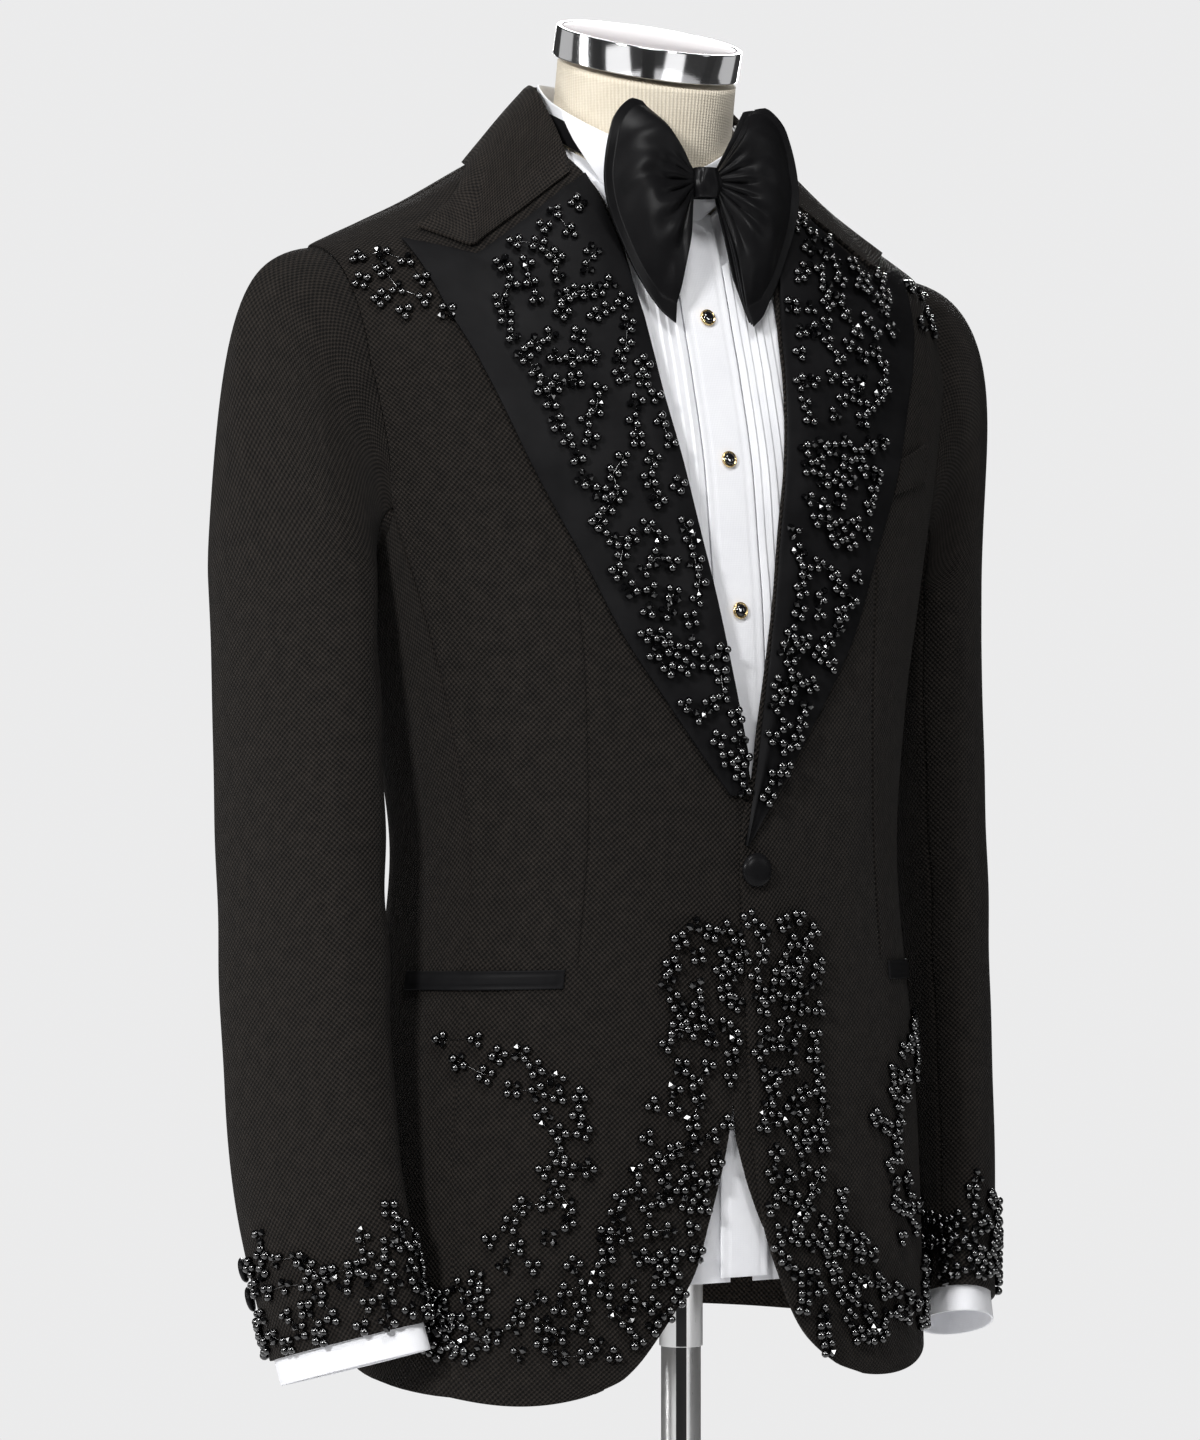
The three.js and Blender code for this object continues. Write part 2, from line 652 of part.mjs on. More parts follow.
// A closed solid through rings of points, filled flat at both ends
function solidOfRings(rings) {
  const around = rings[0].length;
  const points = rings.flat();
  const middle = (ring) => ring.reduce((sum, p) => sum.add(p), new THREE.Vector3()).divideScalar(around);
  points.push(middle(rings[0]), middle(rings[rings.length - 1]));
  const faces = [];
  for (let v = 0; v < rings.length - 1; v += 1) {
    for (let u = 0; u < around; u += 1) {
      const [a, b] = [v * around + u, v * around + ((u + 1) % around)];
      faces.push([a, b, b + around], [a, b + around, a + around]);
    }
  }
  const end = (rings.length - 1) * around;
  for (let u = 0; u < around; u += 1) {
    const next = (u + 1) % around;
    faces.push([points.length - 2, next, u], [points.length - 1, end + u, end + next]);
  }
  return closedGeometry(points, faces);
}

// A round piece from its profile of radius and height, set on a point along a direction
function turned(profile, sides, centre, direction) {
  const up = direction.clone().normalize();
  const side = new THREE.Vector3(0, 0, 1).cross(up).normalize();
  const other = up.clone().cross(side);
  const ringAt = ({ r, h }) =>
    Array.from({ length: sides }, (_, i) => {
      const a = (i / sides) * 2 * Math.PI;
      return centre
        .clone()
        .addScaledVector(up, h)
        .addScaledVector(side, r * Math.cos(a))
        .addScaledVector(other, r * Math.sin(a));
    });
  return solidOfRings(profile.map(ringAt));
}

function coveredButton(radius, height) {
  return [
    { r: radius * 0.82, h: 0 },
    { r: radius, h: height * 0.35 },
    { r: radius * 0.93, h: height * 0.75 },
    { r: radius * 0.6, h: height },
  ];
}

function frontButton() {
  const place = placeAt(0.1, 1112);
  const lift = overlapLift + 0.4;
  return turned(coveredButton(buttonRadius, 5), 14, onBody(place, lift), bodyNormal(place.theta, place.level));
}

function cuffButton(z) {
  const down = lerp(0.3, 1, (sleeveRings[0].z - z) / (sleeveRings[0].z - sleeveRings[6].z));
  const here = sleevePoint(-104, down);
  const around = sleevePoint(-98, down).sub(sleevePoint(-110, down));
  const up = sleevePoint(-104, down - 0.02).sub(sleevePoint(-104, down + 0.02));
  const out = around.cross(up).normalize();
  return turned(coveredButton(cuffButtonRadius, 4), 10, here.addScaledVector(out, 0.5), out);
}

// The shirt: fronts, back, placket and pleated bib on the body drawn in, then sleeves, band, wings and cuffs
function shirtPoint(place, lift = 0) {
  return body(place.theta, place.level, shirtInset).addScaledVector(bodyNormal(place.theta, place.level), lift);
}

function shirtPanel(places) {
  const layer = (depth) => places.map((line) => line.map((place) => shirtPoint(place, -depth)));
  return wall(layer(0), layer(shirtCloth));
}

function shirtArmPlace(turn) {
  const place = armholePlace(turn);
  return { theta: place.theta, level: place.level + shirtArmRise * Math.max(1 - Math.abs(turn) / 90, 0) };
}

// Places on the drawn-in body from a distance from the middle and a height
function shirtPlace(x, z, atBack = false) {
  const low = rowAt(bodySections, "z", Math.min(z, shoulderZ));
  const scaled = (x * low.halfWidth) / (low.halfWidth - shirtInset);
  const top = rowAt(ridgeSections, "x", Math.abs(x)).z;
  const share = (top - shoulderZ) / (top - shirtInset - shoulderZ);
  const height = z <= shoulderZ ? z : Math.min(shoulderZ + (z - shoulderZ) * share, top - 0.01);
  const place = placeAt(scaled, height, atBack);
  return { theta: place.theta, level: Math.min(place.level, topLevel) };
}

function shirtFront() {
  const columns = 5;
  return shirtPanel(
    shirtRows.map((row) => {
      const inner = shirtPlace(row.x, row.z);
      const outer = row.side ? { theta: 90, level: row.side } : shirtArmPlace(row.turn);
      return Array.from({ length: columns + 1 }, (_, i) => ({
        theta: lerp(inner.theta, outer.theta - (outer.theta === 90 ? 2 * seamTurn : 0), i / columns),
        level: lerp(inner.level, outer.level, i / columns),
      }));
    }),
  );
}

function shirtBack() {
  const columns = 14;
  const neck = [
    { x: 0, level: 1440 },
    { x: 78, level: 1446 },
    { x: 130, level: ridgeLevel - 4 },
    { x: 230, level: ridgeLevel - 4 },
  ];
  return shirtPanel(
    shirtBackLevels.map((row) => {
      const edge = row.turn === undefined ? { theta: 90, level: row.level } : shirtArmPlace(row.turn);
      return Array.from({ length: columns + 1 }, (_, i) => {
        const theta = lerp(edge.theta, 360 - edge.theta, i / columns);
        const x = Math.abs(body(theta, shoulderZ).x);
        const cut = (rowAt(neck, "x", x).level - shoulderZ) / 100;
        const above = Math.max(edge.level - shoulderZ, 0);
        return { theta, level: Math.min(edge.level, shoulderZ) + above * Math.min(cut, 1) };
      });
    }),
  );
}

function placket() {
  const layer = (depth) =>
    gridOf(12, 2, (u, v) => {
      const place = shirtPlace(lerp(-15, 15, u), lerp(880, 1482, v));
      return shirtPoint(place, trimLift + shirtCloth - depth);
    });
  return wall(layer(0), layer(shirtCloth));
}

// Narrow pleats, pressed to one side, on a bib from the placket to under the lapel
const pleats = 9;

function bib() {
  const layer = (depth) =>
    gridOf(6, 2 * pleats, (u, v, i) => {
      const top = 1482 - 16 * (1 - u) ** 2;
      const place = shirtPlace(lerp(16, 70, u), lerp(1150 + 60 * u ** 3, top, v));
      return shirtPoint(place, depth ? trimLift : trimLift + shirtCloth + (i % 2) * 0.9);
    });
  return wall(layer(0), layer(shirtCloth));
}

function collarRing(turn, height, radius) {
  const angle = degToRad(turn);
  return new THREE.Vector3(radius * Math.sin(angle), neckCentreY - radius * Math.cos(angle), height);
}

// A band round the neck between two heights that change with the turn
function neckBand(radius, thickness, lowAt, highAt, first, last, columns) {
  const layer = (r) =>
    gridOf(2, columns, (u, v) => {
      const turn = lerp(first, last, u);
      return collarRing(turn, lerp(lowAt(Math.abs(turn)), highAt(Math.abs(turn)), v), r);
    });
  return wall(layer(radius), layer(radius - thickness));
}

const bandLow = (turn) => rowAt(bandRows, "turn", turn).low;
const bandHigh = (turn) => rowAt(bandRows, "turn", turn).high;
const tieHeight = (turn) => lerp(knotCentre.z, 1556, smoothstep(turn, 0, 110)) - 7;

function shirtWing() {
  const dropAt = (turn) => (turn > 42 ? lerp(36, 3, (turn - 42) / 34) : 36);
  const layer = (grow) =>
    gridOf(4, 6, (u, v) => {
      const turn = lerp(22, 76, u);
      const high = bandHigh(turn) - 0.5;
      return collarRing(turn, high - dropAt(turn) * (1 - v), bandRadius + 2.9 + grow + 2.5 * (1 - v));
    });
  return wall(layer(shirtCloth), layer(0));
}

function shirtSleeve() {
  const inset = 5.2;
  const armCentre = new THREE.Vector3(190, 58, 1380);
  const topEdge = (turn, depth) => {
    const place = shirtArmPlace(turn);
    const inwards = armCentre.clone().sub(shirtPoint(place)).setX(0).normalize();
    return shirtPoint(place).addScaledVector(inwards, 1 + depth);
  };
  const layer = (depth) =>
    [0, 0.07, 0.15, 0.3, 0.5, 0.7, 0.85, 0.98].map((down) =>
      armTurns.slice(0, -1).map((turn) => {
        if (down === 0) return topEdge(turn, depth);
        return sleevePoint(turn, down).addScaledVector(sleeveFrame(turn, down).normal, -inset - depth);
      }),
    );
  return wall(layer(0), layer(shirtCloth), true);
}

function shirtCuff() {
  const turns = armTurns.slice(0, -1);
  const shown = 15;
  const layer = (depth) =>
    [-shown, 0, 18, 34].map((high) =>
      turns.map((turn) => {
        const along = new THREE.Vector3(-0.11, -0.26, 0.96).multiplyScalar(Math.min(high, 0));
        const ring = rowAt(sleeveRingsUp, "z", 842 + Math.max(high, 0));
        return ringPoint(ring, turn, -2.9 - depth).add(along);
      }),
    );
  return wall(layer(0), layer(1.4), true);
}

// Studs through the placket: a gold rim and a dark stone in it
function studPieces(z) {
  const place = shirtPlace(0.1, z);
  const base = shirtPoint(place, trimLift + shirtCloth + 0.4);
  const out = bodyNormal(place.theta, place.level);
  const rim = [
    { r: studRadius - 1.2, h: 0 },
    { r: studRadius, h: 0 },
    { r: studRadius, h: 1.2 },
    { r: studRadius - 1.2, h: 1 },
  ];
  const stone = [
    { r: studRadius - 1.6, h: 0.1 },
    { r: studRadius - 1.6, h: 1.4 },
    { r: studRadius - 2.8, h: 2.2 },
  ];
  const ringProfile = rim.map(({ r, h }) => new THREE.Vector2(r, h));
  const lathe = new THREE.LatheGeometry([...ringProfile, ringProfile[0]], 14);
  lathe.applyQuaternion(new THREE.Quaternion().setFromUnitVectors(new THREE.Vector3(0, 1, 0), out));
  lathe.translate(base.x, base.y, base.z);
  return { rim: lathe, stone: turned(stone, 12, base, out) };
}

// The bow tie: two wings in front, two behind them, the knot and the neck band
function bowWing(behind) {
  const push = behind ? 3.2 : 0;
  const scale = behind ? 0.94 : 1;
  return sheet(
    behind ? 4 : 7,
    behind ? 4 : 8,
    (u, v) => {
      const edge = rowAt(wingEdge, "share", v);
      const start = new THREE.Vector3(9.8, 1 + push * 0.3, lerp(-8, 8, v));
      const end = new THREE.Vector3(edge.x * scale, edge.y + push, edge.z * scale);
      const swell = Math.sin(Math.PI * Math.min(u * 1.15, 1)) * (behind ? 1 : 9);
      const fold = Math.cos(v * 5 * Math.PI) * 3.2 * Math.sin(Math.PI * u) * (1 - 0.4 * u);
      const point = start.lerp(end, u ** 0.9);
      point.y -= swell + (behind ? 0 : fold);
      point.add(new THREE.Vector3(0, knotCentre.y - (behind ? 1 : 4), knotCentre.z));
      const clear = shirtPoint(shirtPlace(point.x, Math.min(point.z, 1520)), behind ? 6 : 10).y;
      point.y = Math.min(point.y, clear);
      return point;
    },
    1.6,
  );
}

function bowKnot() {
  const rings = [];
  for (let i = 0; i <= 6; i += 1) {
    const z = lerp(-8.5, 8.5, i / 6);
    const waist = 1 - 0.12 * Math.cos((i / 6) * 2 * Math.PI);
    rings.push(
      Array.from({ length: 14 }, (_, k) => {
        const a = (k / 14) * 2 * Math.PI;
        const x = 8.2 * waist * Math.sign(Math.cos(a)) * Math.abs(Math.cos(a)) ** 0.7;
        const y = 7.5 * Math.sign(Math.sin(a)) * Math.abs(Math.sin(a)) ** 0.8;
        return new THREE.Vector3(x, knotCentre.y - 2 + y, knotCentre.z + z);
      }),
    );
  }
  return solidOfRings(rings);
}

// The dress form: torso with its neck and the pole's socket, cap, pole, post and base
function manifoldOf(geometry) {
  const bare = geometry.clone();
  bare.deleteAttribute("normal");
  bare.deleteAttribute("uv");
  const merged = mergeVertices(bare, 1e-3);
  return new wasm.Manifold(
    new wasm.Mesh({
      numProp: 3,
      vertProperties: merged.getAttribute("position").array,
      triVerts: new Uint32Array(merged.index.array),
    }),
  );
}

function geometryOf(solid) {
  const mesh = solid.getMesh();
  return new THREE.BufferGeometry()
    .setAttribute("position", new THREE.BufferAttribute(new Float32Array(mesh.vertProperties), 3))
    .setIndex(Array.from(mesh.triVerts));
}

function formTorso() {
  const levels = [903, 905, 1000, 1115, 1200, 1262, 1330, 1404, 1436, 1465, 1488, ridgeLevel - 1];
  const around = 24;
  const torso = solidOfTorso(
    levels.map((level) =>
      Array.from({ length: around }, (_, i) => {
        const inset = formInset + (level === 903 ? 8 : 0) + 16 * smoothstep(level, 1400, 1475);
        return body(7.5 + (i * 360) / around, Math.min(level, ridgeLevel), inset);
      }),
    ),
  );
  const neckRings = [1470, 1520, 1560, neckTop].map((z, i) => {
    const tilt = degToRad(capTilt * (i / 3));
    return Array.from({ length: 24 }, (_, k) => {
      const a = (k / 24) * 2 * Math.PI;
      const [x, y] = [neckRadius * Math.sin(a), neckRadius * Math.cos(a)];
      return new THREE.Vector3(x, 52 - i * 4.4 + y * Math.cos(tilt), z + y * Math.sin(tilt));
    });
  });
  const bore = new THREE.CylinderGeometry(poleRadius + 0.3, poleRadius + 0.3, 340, 24).rotateX(Math.PI / 2);
  bore.translate(0, 0, poleTop + 2 - 170);
  return geometryOf(torso.add(manifoldOf(solidOfRings(neckRings))).subtract(manifoldOf(bore)));
}

// The torso's rings, closed flat below and along the shoulder line above
function solidOfTorso(rings) {
  const around = rings[0].length;
  const points = rings.flat();
  const middle = rings[0].reduce((sum, p) => sum.add(p), new THREE.Vector3()).divideScalar(around);
  points.push(middle);
  const faces = [];
  for (let v = 0; v < rings.length - 1; v += 1) {
    for (let u = 0; u < around; u += 1) {
      const [a, b] = [v * around + u, v * around + ((u + 1) % around)];
      faces.push([a, b, b + around], [a, b + around, a + around]);
    }
  }
  for (let u = 0; u < around; u += 1) faces.push([points.length - 1, (u + 1) % around, u]);
  const top = (rings.length - 1) * around;
  const half = around / 2;
  for (let i = 1; i < half; i += 1) {
    const [a, b] = [top + i - 1, top + i];
    const [c, d] = [top + around - 1 - i, top + around - i];
    faces.push([a, b, c], [a, c, d]);
  }
  return manifoldOf(closedGeometry(points, faces));
}

function lathe(profile, sides) {
  const outline = profile.map(([r, h]) => new THREE.Vector2(r, h));
  return new THREE.LatheGeometry([...outline, outline[0]], sides).rotateX(Math.PI / 2);
}

// The neck's top: a metal rim with a slightly domed cap in it, tilted forwards
function onNeck(geometry) {
  return geometry.rotateX(degToRad(capTilt)).translate(0, 38, 1598.5);
}

function neckRim() {
  const half = capHeight / 2;
  return onNeck(
    lathe(
      [
        [capRadius - 2.5, -half],
        [capRadius, -half],
        [capRadius, half - 0.8],
        [capRadius - 0.8, half],
        [capRadius - 2.5, half],
      ],
      26,
    ),
  );
}

function neckCap() {
  const half = capHeight / 2;
  return onNeck(
    lathe(
      [
        [0, -half],
        [capRadius - 2.9, -half],
        [capRadius - 2.9, half - 1],
        [capRadius * 0.75, half + 1.5],
        [capRadius * 0.4, half + 3],
        [0, half + 3.5],
      ],
      26,
    ),
  );
}

function tube(outside, bore, low, high) {
  return lathe(
    [
      [bore, low],
      [outside, low],
      [outside, high],
      [bore, high],
    ],
    20,
  );
}

function standBase() {
  return lathe(
    [
      [0, 0],
      [baseRadius, 0],
      [baseRadius, baseThickness - 3],
      [baseRadius - 3, baseThickness],
      [24, baseThickness + 2],
      [22, 30],
      [postRadius + 0.3, 30],
      [postRadius + 0.3, 3],
      [0, 3],
    ],
    28,
  );
}

addPair("sleeve_top", sleevePanel([60, 80, 100, 120, 140, 160, 180, -160, -140, -120, -100, -80, -60]), "jacket");
addPair("sleeve_under", sleevePanel([-60, -30, 0, 30, 60]), "jacket");
add("jacket_front_left", jacketFront("left"), "jacket");
add("jacket_front_right", mirrored(jacketFront("right")), "jacket");
add("jacket_side_left", jacketSide(hems.left), "jacket");
add("jacket_side_right", mirrored(jacketSide(hems.right)), "jacket");
add("jacket_back_left", jacketBack(hems.left), "jacket");
add("jacket_back_right", mirrored(jacketBack(hems.right)), "jacket");
add("lapel_left", lapel("left"), "satin");
add("lapel_right", mirrored(lapel("right")), "satin");
add("jacket_collar", jacketCollar(), "jacket");
addPair("hip_welt", hipWelt(), "satin");
add("breast_welt", breastWelt(), "jacket");
add("front_button", frontButton(), "satin");
addPair("cuff_button_upper", cuffButton(893), "satin");
addPair("cuff_button_lower", cuffButton(877), "satin");
addPair("shirt_front", shirtFront(), "shirt");
add("shirt_back", shirtBack(), "shirt");
add("shirt_placket", placket(), "shirt");
addPair("shirt_bib", bib(), "shirt");
add("shirt_collar_band", neckBand(bandRadius, shirtCloth, bandLow, bandHigh, -178, 178, 24), "shirt");
addPair("shirt_wing", shirtWing(), "shirt");
addPair("shirt_sleeve", shirtSleeve(), "shirt");
addPair("shirt_cuff", shirtCuff(), "shirt");
for (const { name, z } of studPlaces) {
  const { rim, stone } = studPieces(z);
  add("stud_rim_" + name, rim, "gold");
  add("stud_stone_" + name, stone, "stud");
}
addPair("bow_wing", bowWing(false), "satin");
addPair("bow_back_wing", bowWing(true), "satin");
add("bow_knot", bowKnot(), "satin");
add("bow_band", neckBand(bandRadius + 2.2, 1.4, tieHeight, (turn) => tieHeight(turn) + 14, -172, 172, 20), "satin");
add("form_torso", formTorso(), "jersey");
add("form_neck_band", neckRim(), "chrome");
add("form_neck_cap", neckCap(), "jersey");
add("form_pole_upper", tube(poleRadius, poleBore, poleLow, poleTop), "chrome");
add("form_post", tube(postRadius, postRadius - 1.2, 3.4, postTop), "chrome");
add("form_base", standBase(), "steel");

export default part;
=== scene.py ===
import json
import bpy
import numpy as np
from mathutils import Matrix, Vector

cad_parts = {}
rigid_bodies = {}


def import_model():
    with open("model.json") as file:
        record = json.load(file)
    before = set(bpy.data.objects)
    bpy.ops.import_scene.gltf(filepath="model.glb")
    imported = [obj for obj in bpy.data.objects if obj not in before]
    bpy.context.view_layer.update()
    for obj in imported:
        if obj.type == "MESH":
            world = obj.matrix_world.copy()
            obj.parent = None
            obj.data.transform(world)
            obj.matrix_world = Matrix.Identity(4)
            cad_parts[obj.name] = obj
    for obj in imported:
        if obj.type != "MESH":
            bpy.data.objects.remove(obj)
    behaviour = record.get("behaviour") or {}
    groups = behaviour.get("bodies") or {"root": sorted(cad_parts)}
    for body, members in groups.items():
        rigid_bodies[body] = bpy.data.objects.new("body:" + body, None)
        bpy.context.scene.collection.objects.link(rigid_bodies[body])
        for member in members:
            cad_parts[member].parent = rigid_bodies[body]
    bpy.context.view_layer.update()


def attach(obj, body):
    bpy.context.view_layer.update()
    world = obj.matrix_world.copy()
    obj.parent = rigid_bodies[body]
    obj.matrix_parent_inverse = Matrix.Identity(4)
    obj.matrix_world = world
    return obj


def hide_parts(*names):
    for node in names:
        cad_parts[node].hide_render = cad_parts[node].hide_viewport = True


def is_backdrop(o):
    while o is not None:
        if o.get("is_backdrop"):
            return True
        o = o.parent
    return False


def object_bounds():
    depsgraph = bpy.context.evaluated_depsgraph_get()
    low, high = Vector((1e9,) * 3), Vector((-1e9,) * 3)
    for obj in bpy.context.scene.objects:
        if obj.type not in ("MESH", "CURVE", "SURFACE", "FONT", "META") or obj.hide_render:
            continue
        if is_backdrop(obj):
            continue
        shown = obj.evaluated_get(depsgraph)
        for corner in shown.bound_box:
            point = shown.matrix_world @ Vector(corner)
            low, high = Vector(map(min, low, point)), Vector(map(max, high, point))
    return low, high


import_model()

print("frame loaded")

mm = 0.001


# Tables and curves shared by the pieces, in millimetres
def table(names, *rows):
    return [dict(zip(names.split(), row)) for row in rows]


def rowAt(rows, key, at):
    # a row of a table at any key, on a smooth curve through its rows
    keys = np.array([row[key] for row in rows], float)
    last = len(rows) - 1
    place = np.clip(np.asarray(at, float), keys[0], keys[-1])
    i = np.clip(np.searchsorted(keys, place) - 1, 0, last - 1)
    before, after = np.maximum(i - 1, 0), np.minimum(i + 2, last)
    span = keys[i + 1] - keys[i]
    t = (place - keys[i]) / span
    found = {}
    for name in rows[0]:
        v = np.array([row[name] for row in rows], float)
        slopeA = (v[i + 1] - v[before]) / (keys[i + 1] - keys[before]) * span
        slopeB = (v[after] - v[i]) / (keys[after] - keys[i]) * span
        rise = v[i + 1] - v[i]
        bend = (slopeA - rise) * (1 - t) - (slopeB - rise) * t
        found[name] = v[i] + rise * t + t * (1 - t) * bend
    return found


def smooth(at, low, high):
    t = np.clip((np.asarray(at, float) - low) / (high - low), 0, 1)
    return t * t * (3 - 2 * t)


def mix(a, b, t):
    return a + (b - a) * t


def bell(away, width):
    return np.exp(-((away / width) ** 2))


def unit(v):
    return v / np.maximum(np.linalg.norm(v, axis=-1, keepdims=True), 1e-9)


# The body that the cloth hangs on
bodyShape = {"squareness": 2.3, "shoulderZ": 1404, "shoulderRise": 100, "topLevel": 1503.6}
shoulderZ, shoulderRise = bodyShape["shoulderZ"], bodyShape["shoulderRise"]
bodySections = table(
    "z halfWidth centreY front back",
    (800, 181, 43, 119, 132),
    (984, 173, 43, 119, 127),
    (1115, 158, 43, 121, 108),
    (1200, 167, 48, 122, 112),
    (1262, 180, 52, 122, 117),
    (1300, 189.5, 55, 120, 118),
    (1350, 202, 58, 116, 118),
    (1404, 215, 62, 106, 111),
)
ridgeSections = table(
    "x z y",
    (0, 1572, 60),
    (40, 1563, 61),
    (72, 1546, 62),
    (107, 1528, 64),
    (150, 1504, 66),
    (208, 1477, 68),
    (232, 1465, 69),
)


def body(theta, level, inset=0.0):
    # a point of the jacket's outer face: theta turns from front to back in degrees; level is a height
    # up to shoulderZ, and from there runs on over the shoulder to its ridge
    theta, level = np.broadcast_arrays(np.asarray(theta, float), np.asarray(level, float))
    power = 2 / bodyShape["squareness"]
    low = rowAt(bodySections, "z", np.minimum(level, shoulderZ))
    angle = np.radians(theta)
    across = np.sign(np.sin(angle)) * np.abs(np.sin(angle)) ** power
    depth = np.abs(np.cos(angle)) ** power
    atFront = np.cos(angle) > 0
    x = across * (low["halfWidth"] - inset)
    y = low["centreY"] + depth * np.where(atFront, inset - low["front"], low["back"] - inset)
    top = rowAt(ridgeSections, "x", np.abs(x))
    rise = np.sin(np.clip((level - shoulderZ) / shoulderRise, 0, 1) * np.pi / 2)
    height = (top["z"] - inset - shoulderZ) * rise
    roundness = np.where(atFront, 1.7, 2.1)
    lean = np.where(atFront, 0.3, -0.15) * depth * height * (1 - rise) ** 2
    closing = np.clip(1 - rise**roundness, 0, 1) ** (1 / roundness)
    above = level > shoulderZ
    y = np.where(above, top["y"] + (y - top["y"]) * closing + lean, y)
    return np.stack([x, y, np.where(above, shoulderZ + height, level)], axis=-1)


def bodyNormal(theta, level):
    high = np.minimum(np.asarray(level, float) + 0.6, bodyShape["topLevel"])
    up = body(theta, high) - body(theta, high - 1.2)
    around = body(theta + 0.3, level) - body(theta - 0.3, level)
    return unit(np.cross(around, up))


def onBody(theta, level, lift=0.0):
    return body(theta, level) + bodyNormal(theta, level) * np.asarray(lift, float)[..., None]


def placeAt(x, z, atBack=False):
    # the theta and level of a place on the body seen from the front or the back
    x, z = np.broadcast_arrays(np.asarray(x, float), np.asarray(z, float))
    low = rowAt(bodySections, "z", np.minimum(z, shoulderZ))
    share = np.clip(np.abs(x) / low["halfWidth"], 0, 1) ** (bodyShape["squareness"] / 2)
    turn = np.degrees(np.arcsin(share))
    theta = np.where(x < 0, -1, 1) * (180 - turn if atBack else turn)
    top = rowAt(ridgeSections, "x", np.abs(x))["z"]
    rise = np.clip((z - shoulderZ) / (top - shoulderZ), 0, 1)
    level = np.where(z <= shoulderZ, z, shoulderZ + np.degrees(np.arcsin(rise)) / 90 * shoulderRise)
    return theta, np.minimum(level, bodyShape["topLevel"])


def frontPoint(x, z, lift=0.0):
    return onBody(*placeAt(x, z), lift)


armhole = table(
    "turn theta level",
    (-180, 99.4, 1503.6),
    (-160, 106, 1474),
    (-140, 110, 1440),
    (-120, 113, 1404),
    (-100, 113.5, 1376),
    (-80, 112.5, 1348),
    (-60, 110, 1322),
    (-30, 101, 1299),
    (0, 90, 1292),
    (30, 80, 1298),
    (60, 72, 1320),
    (80, 69, 1350),
    (100, 67.5, 1378),
    (120, 67, 1404),
    (140, 69, 1440),
    (160, 73, 1474),
    (180, 80.6, 1503.6),
)


# Meshes
def newObject(name, data):
    obj = bpy.data.objects.new(name, data)
    bpy.context.collection.objects.link(obj)
    return obj


def settle(obj, riding, replaced=None):
    # a finished piece: the solid it stands for and the body it rides on
    if replaced:
        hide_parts(replaced)
    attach(obj, riding)


def meshOf(name, points, faces, look, uvs=None):
    mesh = bpy.data.meshes.new(name)
    mesh.from_pydata((np.asarray(points) * mm).tolist(), [], faces)
    if uvs is not None:
        layer = mesh.uv_layers.new(name="cloth")
        loops = np.zeros(len(mesh.loops), int)
        mesh.loops.foreach_get("vertex_index", loops)
        layer.data.foreach_set("uv", (uvs[loops] * mm).ravel())
    mesh.polygons.foreach_set("use_smooth", [True] * len(mesh.polygons))
    mesh.materials.append(finish[look][1])
    mesh.update()
    return newObject(name, mesh)


def gridFaces(rows, columns, closed=False):
    faces = []
    for v in range(rows - 1):
        for u in range(columns if closed else columns - 1):
            a, b = v * columns + u, v * columns + (u + 1) % columns
            faces.append((a, b, b + columns, a + columns))
    return faces


def ringOf(grid, closed):
    return np.concatenate([grid, grid[:, :1]], axis=1) if closed else grid


def clothUv(grid, closed):
    # lengths along the rows and up the columns, so that the weave keeps its size
    ring = ringOf(grid, closed)
    across = np.linalg.norm(np.diff(ring, axis=1), axis=-1)
    up = np.linalg.norm(np.diff(ring, axis=0), axis=-1)
    u = np.concatenate([np.zeros((len(ring), 1)), np.cumsum(across, axis=1)], axis=1)
    v = np.concatenate([np.zeros((1, ring.shape[1])), np.cumsum(up, axis=0)], axis=0)
    middle = ring.shape[1] // 2
    u -= u[:, middle : middle + 1]
    v = mix(v, v.mean(axis=1, keepdims=True), 0.7)
    return np.stack([u, v], axis=-1)[:, : grid.shape[1]].reshape(-1, 2)


def fixSeamUv(obj, grid):
    # the last column's faces run on past the seam in place of back to the start
    rows, columns = grid.shape[:2]
    layer = obj.data.uv_layers["cloth"].data
    step = np.linalg.norm(grid[:, 0] - grid[:, -1], axis=-1) * mm
    for v in range(rows - 1):
        face = obj.data.polygons[v * columns + columns - 1]
        for loop in face.loop_indices:
            row, column = divmod(obj.data.loops[loop].vertex_index, columns)
            if column == 0:
                last = layer[face.loop_indices[0 if row == v else 3]].uv
                layer[loop].uv = (last[0] + step[row], last[1])


def clothPiece(name, grid, thickness, look, closed=False, rim=0.5):
    # a grid of outer points made a wall by Solidify, its edge softened by Bevel
    faces = gridFaces(*grid.shape[:2], closed)
    obj = meshOf(name, grid.reshape(-1, 3), faces, look, clothUv(grid, closed))
    if closed:
        fixSeamUv(obj, grid)
    solid = obj.modifiers.new("wall", "SOLIDIFY")
    solid.thickness = thickness * mm
    solid.offset = -1
    solid.use_even_offset = False
    soft = obj.modifiers.new("edge", "BEVEL")
    soft.width = rim * mm
    soft.segments = 2
    soft.limit_method = "ANGLE"
    soft.angle_limit = np.radians(55)
    return obj


# a piece whose outline fills less of its width and length than this is worked out as that much narrower,
# though nothing keeps the result; a piece whose outline fills less of its width and length than this is
# declared that much narrower
narrowCut = {"under": 0.31, "filled": 0.4}


